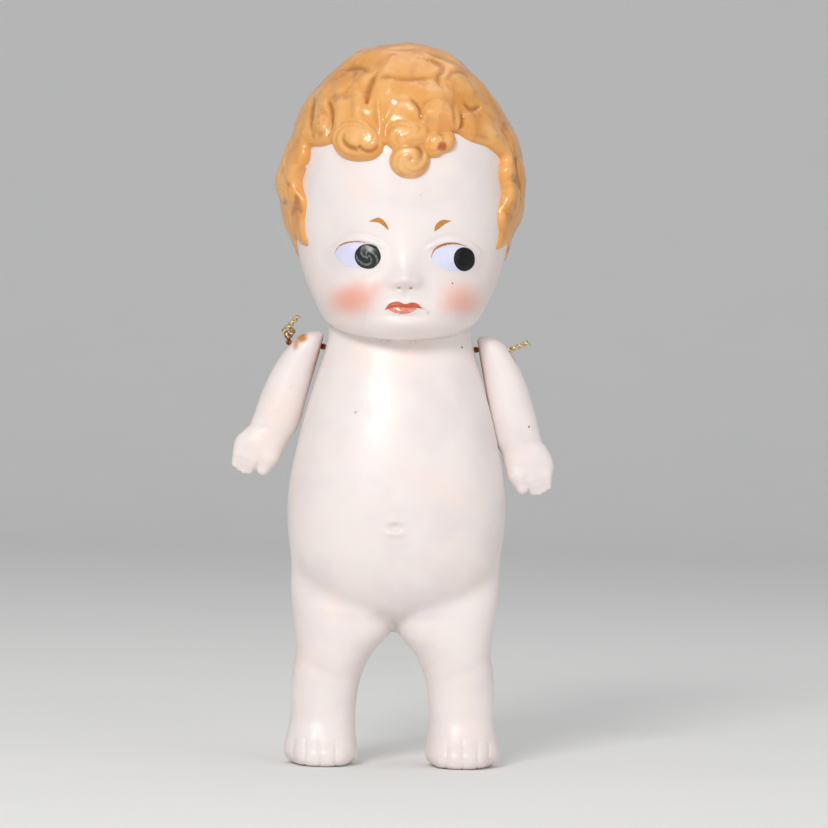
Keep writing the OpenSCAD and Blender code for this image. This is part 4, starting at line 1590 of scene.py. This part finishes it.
class PaintedFace:
    """Eyes, brows and lips in china paint."""

    def __init__(self, figure: Figure) -> None:
        """Args:
            figure: The figure that is painted.
        """
        self.figure = figure

    def pupil(
        self, name: str, x: float, z: float, rx: float, rz: float, seed: int
    ) -> bpy.types.Object:
        """A thick round drop of paint with a slightly ragged edge.

        Its radius at angle a is 1 + a few small waves; a point at share s of it stands out by
        0.05 + 0.1 (1 - s^6)^0.5 from the skin, with brush strokes that run round it in a swirl.

        Args:
            name: Name of the piece.
            x: Its middle across.
            z: Its middle's height.
            rx: Half width.
            rz: Half height.
            seed: Seed of its waves.

        Returns:
            The piece.
        """
        rng = np.random.default_rng(seed)
        angle = np.linspace(0, 2 * math.pi, 72, endpoint=False)
        wave = sum(
            rng.uniform(0.002, 0.008) * np.cos(k * angle + rng.uniform(0, 6)) for k in range(2, 7)
        )
        share = np.linspace(0.04, 1, 16)
        s, a = (m.ravel() for m in np.meshgrid(share, angle, indexing="ij"))
        ragged = 1 + np.tile(wave, len(share)) * s**2
        px, pz = x + rx * s * ragged * np.cos(a), z + rz * s * ragged * np.sin(a)
        y = self.figure.front_y(px, pz)
        stroke_of = np.sin(3 * a + 11.0 * s + 1.2 * np.sin(2 * a + 1))
        rise = 0.05 + (0.1 + 0.012 * stroke_of) * np.sqrt(1 - s**6 * 0.999)
        top = np.stack([px, y - rise, pz], 1)
        under = np.stack([px, y + 0.1, pz], 1)
        tip = np.array([[x, top[: len(angle), 1].mean() - 0.004, z], [x, under[0, 1], z]])
        n, m = len(top), len(angle)
        f = grid_faces(len(share), m, True)
        first, last = np.arange(m), n - m + np.arange(m)
        after = np.roll(last, -1)
        wall = np.concatenate(
            [np.stack([last, after, after + n], 1), np.stack([last, after + n, last + n], 1)]
        )
        caps = [fan(2 * n, first)[:, [0, 2, 1]], fan(2 * n + 1, first + n)]
        faces = np.concatenate([f[:, ::-1], f + n, *caps, wall[:, ::-1]])
        net = Net(np.concatenate([top, under, tip]), faces).outward()
        swirl = 0.5 + 0.5 * stroke_of * smooth_step(1.0, 0.85, s)
        return to_mesh(name, net, {"swirl": np.concatenate([swirl, swirl, [0.5, 0.5]])})

    def whites(self) -> list[Patch]:
        """The whites of the eyes, whose inner ends lie under the pupils."""
        right = (
            ((-11.8, 91.3), (-11.1, 90.0), (-9.9, 89.1), (-8.6, 88.75), (-6.4, 88.7), (-4.3, 89.7)),
            ((-11.8, 91.4), (-11.0, 92.3), (-9.9, 92.9), (-8.6, 93.1), (-6.6, 93.0), (-4.3, 92.0)),
        )
        left = (
            ((5.25, 91.0), (5.8, 89.8), (6.8, 88.95), (8.1, 88.6), (10.0, 88.6), (12.0, 89.2)),
            ((5.25, 91.1), (5.8, 91.9), (6.7, 92.6), (8.0, 93.05), (9.8, 93.1), (12.0, 92.3)),
        )
        return [
            Patch(name, through(*lower), through(*upper))
            for name, (lower, upper) in (("right_eye_white", right), ("left_eye_white", left))
        ]

    def lid_lines(self) -> list[Patch]:
        """The brown line along each upper lid, thinning out at both ends."""
        right_run = [(-11.85, 91.2), (-11.1, 92.35), (-10.0, 92.98)]
        right_run += [(-8.7, 93.2), (-7.0, 93.2), (-4.3, 92.4)]
        left_run = [(5.2, 90.6), (5.7, 91.95), (6.65, 92.7)]
        left_run += [(8.0, 93.2), (9.7, 93.3), (11.4, 92.95)]
        right = tuple(right_run), (0.02, 0.10, 0.13, 0.12, 0.09, 0.02)
        left = tuple(left_run), (0.03, 0.15, 0.21, 0.2, 0.14, 0.03)
        return [
            Patch(name, *stroke(*line), thick=0.06, rows=7)
            for name, line in (("right_lid_line", right), ("left_lid_line", left))
        ]

    def brows(self) -> list[Patch]:
        """The brows, short commas that start thick over the nose side of each eye."""
        under = [(-5.8, 96.8), (-4.9, 96.72), (-4.1, 96.62), (-3.3, 96.1), (-2.7, 95.6)]
        over = [(-5.8, 96.85), (-4.9, 97.3), (-4.1, 97.5), (-3.2, 97.0), (-2.6, 96.2)]
        right = (*under, (-2.25, 95.35)), (*over, (-2.25, 95.4))
        left = (
            ((5.7, 95.25), (6.05, 95.5), (6.6, 95.9), (7.3, 96.5), (8.0, 96.95), (8.7, 97.25)),
            ((5.7, 95.3), (5.85, 96.3), (6.5, 97.1), (7.3, 97.4), (8.0, 97.35), (8.7, 97.3)),
        )
        return [
            Patch(name, through(*lower), through(*upper), rows=14)
            for name, (lower, upper) in (("right_brow", right), ("left_brow", left))
        ]

    def lips(self) -> tuple[Patch, Patch]:
        """The upper lip, a bow that lies over the edge of the thinner lower lip."""
        bow_lower = (-2.7, 81.3), (-1.8, 81.6), (-0.6, 81.85), (0.8, 81.7), (1.9, 81.75)
        bow_upper = (-2.7, 81.4), (-1.9, 82.45), (-0.5, 82.85), (0.8, 82.45), (2.0, 82.75)
        pout_lower = (-2.0, 81.35), (-1.0, 80.92), (0.4, 80.7), (1.8, 80.95), (2.9, 81.6)
        pout_upper = (-2.0, 81.55), (-1.0, 82.05), (0.4, 82.1), (1.8, 82.05), (2.9, 81.9)
        bow = (
            through(*bow_lower, (2.9, 81.8), (3.8, 81.7)),
            through(*bow_upper, (3.0, 82.55), (3.8, 81.8)),
        )
        return (
            Patch("upper_lip", *bow, thick=0.12),
            Patch("lower_lip", through(*pout_lower), through(*pout_upper), thick=0.08),
        )

    def build(self) -> dict[str, list[bpy.types.Object]]:
        """Returns:
            The pieces, by the paint they are in.
        """
        upper, lower = self.lips()
        patches = {
            "white": self.whites(),
            "brown": self.lid_lines(),
            "brow": self.brows(),
            "red": [upper],
            "pink": [lower],
        }
        pieces = {
            paint: [patch.build(self.figure) for patch in group]
            for paint, group in patches.items()
        }
        pieces["worn"] = [self.pupil("right_pupil", -5.9, 90.7, 2.3, 2.2, 3)]
        pieces["black"] = [self.pupil("left_pupil", 11.1, 90.65, 1.9, 2.12, 8)]
        return pieces


# --- Arms -------------------------------------------------------------------------------


@dataclass
class Arm:
    """One arm: a casting with a flat inner face, a hole for the wire, four fingers and a thumb."""

    side: Side
    size: Proportions
    splay: float
    flat_x: float
    length: float
    heel: float
    hand_in: float = 0.0
    thick: float = 8.0
    deep: float = 8.0
    bore: float = 0.84
    margin: float = 1.2

    def __post_init__(self) -> None:
        """Lays out the arm's loft, hanging down from its joint."""
        d, ln, top, inward = self.deep / 2, self.length, self.heel, self.hand_in / 2
        down = [
            (-top, 0.45, d * 0.12, d * 0.12, 1.25, 0.0),
            (-top * 0.84, 1.15, d * 0.50, d * 0.50, 1.45, 0.0),
            (-top * 0.45, 2.0, d * 0.84, d * 0.84, 2.1, 0.0),
            (ln * 0.02, 2.66, d * 0.97, d * 0.97, 2.66, 0.0),
            (ln * 0.16, 3.42, d * 1.02, d * 1.02, 3.44, 0.1),
            (ln * 0.32, 3.9, d, d, 3.92, 0.0),
            (ln * 0.48, 4.15, d * 0.93, d * 0.93, 4.17, -0.3),
            (ln * 0.61, 4.1, d * 0.80, d * 0.80, 4.38, -0.6),
            (ln * 0.69, 4.05, d * 0.71, d * 0.71, 5.1, -0.8),
            (ln * 0.77, 4.35, d * 0.69, d * 0.69, 6.05 - inward, -0.9),
            (ln * 0.84, 4.05, d * 0.58, d * 0.58, 6.35 - inward, -1.0),
            (ln * 0.90, 2.9, d * 0.40, d * 0.40, 6.5 - inward, -1.0),
            (ln * 0.935, 0.6, d * 0.12, d * 0.12, 6.6 - inward, -1.0),
        ]
        self.loft = Loft([(-s, *rest) for s, *rest in reversed(down)], 2.1)
        a = math.radians(self.splay)
        cos, sin = math.cos(a), math.sin(a)
        self.tilt = np.array([[cos, 0, sin], [0, 1, 0], [-sin, 0, cos]])

    def local(self, p: Array) -> Array:
        """Points in the arm's own frame: +X out of its flat face, -Z down the arm."""
        way, size = self.side.value, self.size
        q = p - np.array([way * self.flat_x, size.shoulder_y, size.shoulder_z])
        return (q * np.array([way, 1.0, 1.0])) @ self.tilt.T

    def hand(self, q: Array) -> Array:
        """Four fingers lying together and a thumb on the trunk's side, as tapering rods."""
        ln, shift = self.length, self.hand_in
        fingers = np.full(len(q), 99.0)
        for k in range(4):
            start = np.array([5.5 + 1.05 * k - shift / 2, -1.9 + 0.14 * k, -ln * 0.755])
            joint = np.array([6.2 + 1.04 * k - shift, -2.15 + 0.10 * k, -ln * (0.88 - 0.004 * k)])
            drop = 0.966 - 0.008 * abs(k - 0.8) ** 1.5
            tip = np.array([6.65 + 0.88 * k - shift, -1.25, -ln * drop])
            rod = capsule(q, start, joint, 0.80, 0.96)
            rod = np.minimum(rod, capsule(q, joint, tip, 0.96, 0.76))
            fingers = smooth_min(fingers, rod, 0.3)
        root = np.array([3.7, -1.0, -ln * 0.72])
        bend = np.array([3.85 - shift / 2, -1.7, -ln * 0.84])
        tip = np.array([4.15 - shift / 2, -1.7, -ln * 0.927])
        thumb = capsule(q, root, bend, 2.0, 1.75)
        thumb = smooth_min(thumb, capsule(q, bend, tip, 1.75, 1.15), 0.8)
        return np.minimum(fingers, thumb)

    def field(self, p: Array) -> Array:
        """The arm's skin: loft and hand together, cut flat on the trunk's side and bored."""
        q = self.local(p)
        arm = self.loft(q)
        whole = smooth_min(arm, self.hand(q), 0.75)
        crease = np.exp(-(((q[:, 2] + self.length * 0.64 + 0.10 * (q[:, 0] - 4)) / 0.6) ** 2))
        whole += 0.22 * crease * smooth_step(3.5, 7.5, q[:, 0])
        upper = smooth_step(-self.length * 0.60, -self.length * 0.45, q[:, 2])
        whole = smooth_max(whole, -q[:, 0] - (1 - upper) * 9, 0.5)
        axis = self.size.off_axis(p)
        return smooth_max(whole, self.bore - axis, 0.35)

    def size_at(self, p: Array) -> Array:
        """Edge length wanted: fine on the hand and round the hole."""
        q = self.local(p)
        size = np.full(len(p), 0.55)
        size[q[:, 2] < -self.length * 0.62] = 0.21
        axis = self.size.off_axis(p)
        size[axis < 2.4] = 0.22
        return size

    def marks(self, p: Array) -> dict[str, Array]:
        """Args:
            p: Points of the arm.

        Returns:
            The attributes blush, dirt, rust and speck.
        """
        axis = self.size.off_axis(p)
        x, y, z = self.local(p).T
        inner = smooth_step(0.6, 0.1, x) * smooth_step(-self.length * 0.62, -2.0, z)
        if self.side is Side.RIGHT:
            rust = 0.5 * smooth_step(3.6, 1.3, np.hypot(axis, 0.8 * (x - 3.4))) * (z > -2.5)
            rust = np.maximum(rust, 0.95 * bump(x - 3.9, z - 0.6, 1.2, 1.3) * (y < 2))
            rust = np.maximum(rust, 0.75 * bump(x - 4.5, z + 0.9, 0.8, 1.5) * (y < 2))
            stains = ((2.9, -8.6, 1.5), (4.2, -13.4, 1.2))
            dirt_and_shade = sum(0.24 * bump(x - u, z - v, r, r) for u, v, r in stains)
            specks = ((6.9, -10.6, 0.12),)
        else:
            run = bump(y + 1.2, z + 2.2, 0.8, 2.0) * (x > self.thick * 0.28)
            rust = np.maximum(smooth_step(1.7, 0.9, axis) * 0.9, 0.7 * run)
            dirt_and_shade = 0.6 * run
            specks = ((6.6, -15.2, 0.24), (4.1, -12.0, 0.12))
        rust = np.maximum(rust, 0.75 * inner)
        speck = sum(bump(x - u, z - v, r, r) for u, v, r in specks) * (y < 0)
        return {
            "blush": 0.10 * smooth_step(-self.length * 0.75, -self.length * 0.95, z),
            "dirt_and_shade": np.clip(dirt_and_shade * (y < 1) + 0.5 * smooth_step(1.3, 0.85, axis), 0, 1),
            "rust": np.clip(rust, 0, 1),
            "speck": speck,
        }

    def build(self, name: str) -> bpy.types.Object:
        """Args:
            name: The CAD node that it stands for.

        Returns:
            The piece.
        """
        low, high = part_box(name)
        low, high = np.array(low) / MM - self.margin, np.array(high) / MM + self.margin
        net = skin(self.field, low, high, 0.6, self.size_at)
        return to_mesh(name + "_bisque", net, self.marks(net.points))


# --- Wire -------------------------------------------------------------------------------


@dataclass
class Wire:
    """Two iron strands twisted together, straight through both shoulders."""

    size: Proportions
    flat_x: float
    exit_out: float = 5.44
    strand_d: float = 0.6
    gap: float = -0.06
    pitch: float = 2.2
    curl_r: float = 0.74
    straight_end: float = 4.2
    end_rise: float = 24.0
    sides: int = 12

    def route(self) -> Array:
        """The places that the pair's middle runs through, from the curled tip to the bent one."""
        pair_r = (self.strand_d + self.gap) / 2 + self.strand_d / 2
        up, wind = self.curl_r + pair_r + 1.25, 2 * pair_r - 0.1
        far = self.flat_x + self.exit_out

        def past(side: Side, out: float, rise: float, ahead: float = 0.0) -> tuple:
            """Returns a point beyond a shoulder."""
            return (
                side.value * (far + out),
                self.size.shoulder_y - ahead,
                self.size.shoulder_z + rise,
            )

        right, left = Side.RIGHT, Side.LEFT
        points = [past(right, -1.2, up + 3, 1.6 * wind)]
        for angle in range(440, -71, -30):
            a = math.radians(angle)
            points.append(
                past(
                    right,
                    0.6 + self.curl_r * math.cos(a),
                    up + self.curl_r * math.sin(a),
                    wind * (angle + 70) / 360,
                )
            )
        points += [past(right, 0.4, 0.35), past(right, -0.4, 0), past(right, -2, 0)]
        points += [(i * 3.25, self.size.shoulder_y, self.size.shoulder_z) for i in range(-3, 4)]
        points += [past(left, -2, 0), past(left, -0.2, 0), past(left, 0.6, 0.12)]
        rise = math.radians(self.end_rise)
        for d in ((self.straight_end - 0.6) / 2, self.straight_end - 0.6):
            points.append(past(left, 0.6 + d * math.cos(rise), 0.12 + d * math.sin(rise)))
        return np.array(points)

    def middle(self) -> tuple[Array, Array]:
        """Returns:
            Points of the middle at even steps, and the distance run to each.
        """
        route = self.route()
        knots = np.concatenate([np.arange(len(route))[:, None], route], 1)
        fine = curve(knots, np.linspace(0, len(route) - 1, 8 * len(route)))
        run = np.concatenate([[0], np.cumsum(np.linalg.norm(np.diff(fine, axis=0), axis=1))])
        even = np.linspace(0, run[-1], int(run[-1] / 0.13))
        return np.stack([np.interp(even, run, fine[:, k]) for k in range(3)], 1), even

    def strand(self, name: str, start: float) -> bpy.types.Object:
        """One strand, wound round the middle and roughened by rust.

        At distance s its middle is off the pair's by r (cos a, sin a), with a = start + 2 pi s /
        pitch. The two part a little at their tips. Its own radius wavers by a tenth.

        Args:
            name: Name of the piece.
            start: Angle at the curled tip.

        Returns:
            The piece.
        """
        middle, s = self.middle()
        along = np.gradient(middle, axis=0)
        along /= np.linalg.norm(along, axis=1)[:, None]
        across = np.cross(along, [0.0, 1.0, 0.0])
        across /= np.linalg.norm(across, axis=1)[:, None]
        over = np.cross(along, across)
        a = start + 2 * math.pi * s / self.pitch
        tip = np.minimum(s, s[-1] - s)
        fray = 1 + 0.55 * np.clip(1 - tip / 0.9, 0, 1)
        off = ((self.strand_d + self.gap) / 2 * fray)[:, None]
        centre = middle + off * (np.cos(a)[:, None] * across + np.sin(a)[:, None] * over)
        turn = np.linspace(0, 2 * math.pi, self.sides, endpoint=False)[None, :, None]
        rng = Noise(int(start * 10) + 3)
        ring = np.cos(turn) * across[:, None] + np.sin(turn) * over[:, None]
        raw = (centre[:, None] + self.strand_d / 2 * ring).reshape(-1, 3)
        rough = rng(raw / 0.28).reshape(len(s), self.sides, 1)
        round_off = np.sqrt(np.clip(tip / 0.16, 0.05, 1))[:, None, None]
        radius = self.strand_d / 2 * (0.94 + 0.06 * rough) * round_off
        points = (centre[:, None] + radius * ring).reshape(-1, 3)
        ends = np.stack([centre[0] - along[0] * 0.03, centre[-1] + along[-1] * 0.03])
        n, m = len(points), self.sides
        caps = [fan(n, np.arange(m)), fan(n + 1, n - m + np.arange(m))[:, [0, 2, 1]]]
        faces = np.concatenate([grid_faces(len(s), m, True)[:, ::-1], *caps])
        net = Net(np.concatenate([points, ends]), faces).outward()
        bright = np.repeat(np.clip(0.85 - tip / 14, 0, 1) + 0.4 * np.exp(-tip / 0.8), m)
        return to_mesh(name, net, {"bright": np.concatenate([bright, [1, 1]])})


# --- Stage ------------------------------------------------------------------------------


@dataclass
class Studio:
    """A pale floor, soft light and the camera."""

    middle_z: float = 0.0632
    middle_x: float = 0.0028
    away: float = 0.70
    view_w: float = 0.1490
    roll: float = 1.2

    def floor(self) -> None:
        """A wide sheet at the height of the soles that sweeps up behind in a quarter circle."""
        wide, front, back, bend, top = 9.0, -9.0, 1.1, 0.7, 6.0
        turn = np.linspace(0, math.pi / 2, 33)
        y = np.concatenate([[front], back + bend * np.sin(turn), [back + bend]])
        z = np.concatenate([[0.0], bend * (1 - np.cos(turn)), [top]])
        points = np.stack([np.tile([-wide, wide], len(y)), np.repeat(y, 2), np.repeat(z, 2)], 1)
        sheet = to_mesh("studio_floor", Net(points / MM, grid_faces(len(y), 2, False)))
        f = Finish("matt pale studio card", Roughness=0.9)
        f.feed("Base Color", f.over("F2F1EF", "EFEEEC", f.noise(40, 2)))
        f.dress(sheet)

    def lamp(self, name: str, place: tuple, power: float, width: float, colour: tuple) -> None:
        """A soft square light that faces the doll's chest.

        Args:
            name: Name of the light.
            place: Where it hangs, in metres.
            power: Its watts.
            width: Length of its sides.
            colour: Its linear colour.
        """
        data = bpy.data.lights.new(name, "AREA")
        data.energy, data.size, data.color = power, width, colour
        light = bpy.data.objects.new(name, data)
        light.location = place
        aim = Vector((0, 0, 0.07)) - Vector(place)
        light.rotation_euler = aim.to_track_quat("-Z", "Y").to_euler()
        bpy.context.scene.collection.objects.link(light)

    def build(self) -> None:
        """Sets up the floor, the lights, the air and the camera."""
        self.floor()
        self.lamp("soft_key", (-0.24, -0.82, 0.52), 4.5, 0.26, (1.0, 0.99, 0.97))
        self.lamp("soft_fill", (0.55, -0.60, 0.25), 0.8, 0.60, (0.97, 0.98, 1.0))
        self.lamp("soft_top", (0.05, 0.15, 0.75), 0.8, 0.50, (1.0, 1.0, 1.0))
        world = bpy.data.worlds.new("pale_air")
        world.use_nodes = True
        back = world.node_tree.nodes["Background"]
        back.inputs["Color"].default_value = (0.845, 0.865, 0.89, 1)
        back.inputs["Strength"].default_value = 0.54
        scene = bpy.context.scene
        scene.world = world
        scene.view_settings.view_transform = "Standard"
        data = bpy.data.cameras.new("camera")
        data.lens = data.sensor_width * self.away / self.view_w
        data.clip_start = 0.01
        camera = bpy.data.objects.new("camera", data)
        place = Matrix.Translation((self.middle_x, -self.away, self.middle_z))
        level = Matrix.Rotation(math.radians(90), 4, "X")
        camera.matrix_world = place @ level @ Matrix.Rotation(math.radians(self.roll), 4, "Z")
        scene.collection.objects.link(camera)
        scene.camera = camera


# --- The doll ---------------------------------------------------------------------------


def main() -> None:
    """Builds the doll on the frame, dresses it and sets the stage."""
    logging.basicConfig(level=logging.INFO, format="%(message)s")
    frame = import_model()
    Studio().build()
    size = Proportions.of_frame(frame["joints"])
    figure = Figure(size)
    bisque = Bisque().make()
    parts = figure.build()
    bisque.dress(parts["doll_skin"])
    GlazedHair().make().dress(parts["doll_hair"])
    for piece in parts.values():
        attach(piece, "doll")
    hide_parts("figure")
    paints = {
        "white": ChinaPaint("lavender-white china paint", "D9D9F2", "ECECF6", 0.30, 2.5, 0.5),
        "brown": ChinaPaint("brown china paint line", "B27640", "8A5028", 0.4, 0.4),
        "brow": ChinaPaint("ochre-brown china paint", "C98433", "A9641C", 0.45, 0.5, 0.7, 0.1),
        "red": ChinaPaint("coral red china paint", "CF5A38", "B04A28", 0.28, 0.6, 0.5, 0.5),
        # Lower lip: its pale streaks are partly paint worn thin and partly painted glints.
        "pink": ChinaPaint("thin pink china paint", "E2866C", "F2BBAA", 0.18, 0.5, 0.8, 0.8),
        "worn": ChinaPaint(
            "rubbed black china paint", "1C201F", "868D87", 0.3, 0.5, 0.7, 0.2, 0.4, swirl=True
        ),
        "black": ChinaPaint(
            "black china paint", "030303", "1A1D1B", 0.2, 0.6, 0.5, 0.15, 0.3, swirl=True
        ),
    }
    for kind, pieces in PaintedFace(figure).build().items():
        paint = paints[kind].make()
        paint.dress(*pieces)
        for piece in pieces:
            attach(piece, "doll")
    flat_x = -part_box("right_arm")[1].x / MM + 0.15
    arms = (
        ("right_arm", Arm(Side.RIGHT, size, 14.8, flat_x, length=26.0, heel=2.5, hand_in=0.2)),
        ("left_arm", Arm(Side.LEFT, size, 11.0, flat_x, length=27.9, heel=2.3, hand_in=1.1)),
    )
    for name, casting in arms:
        arm = casting.build(name)
        bisque.dress(arm)
        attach(arm, name)
        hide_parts(name)
    wire = Wire(size, flat_x)
    iron = RustyIron().make()
    for name, start in (("wire_strand_a", 0.0), ("wire_strand_b", math.pi)):
        strand = wire.strand(name + "_iron", start)
        iron.dress(strand)
        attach(strand, "right_arm")
        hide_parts(name)


if __name__ == "__main__":
    main()
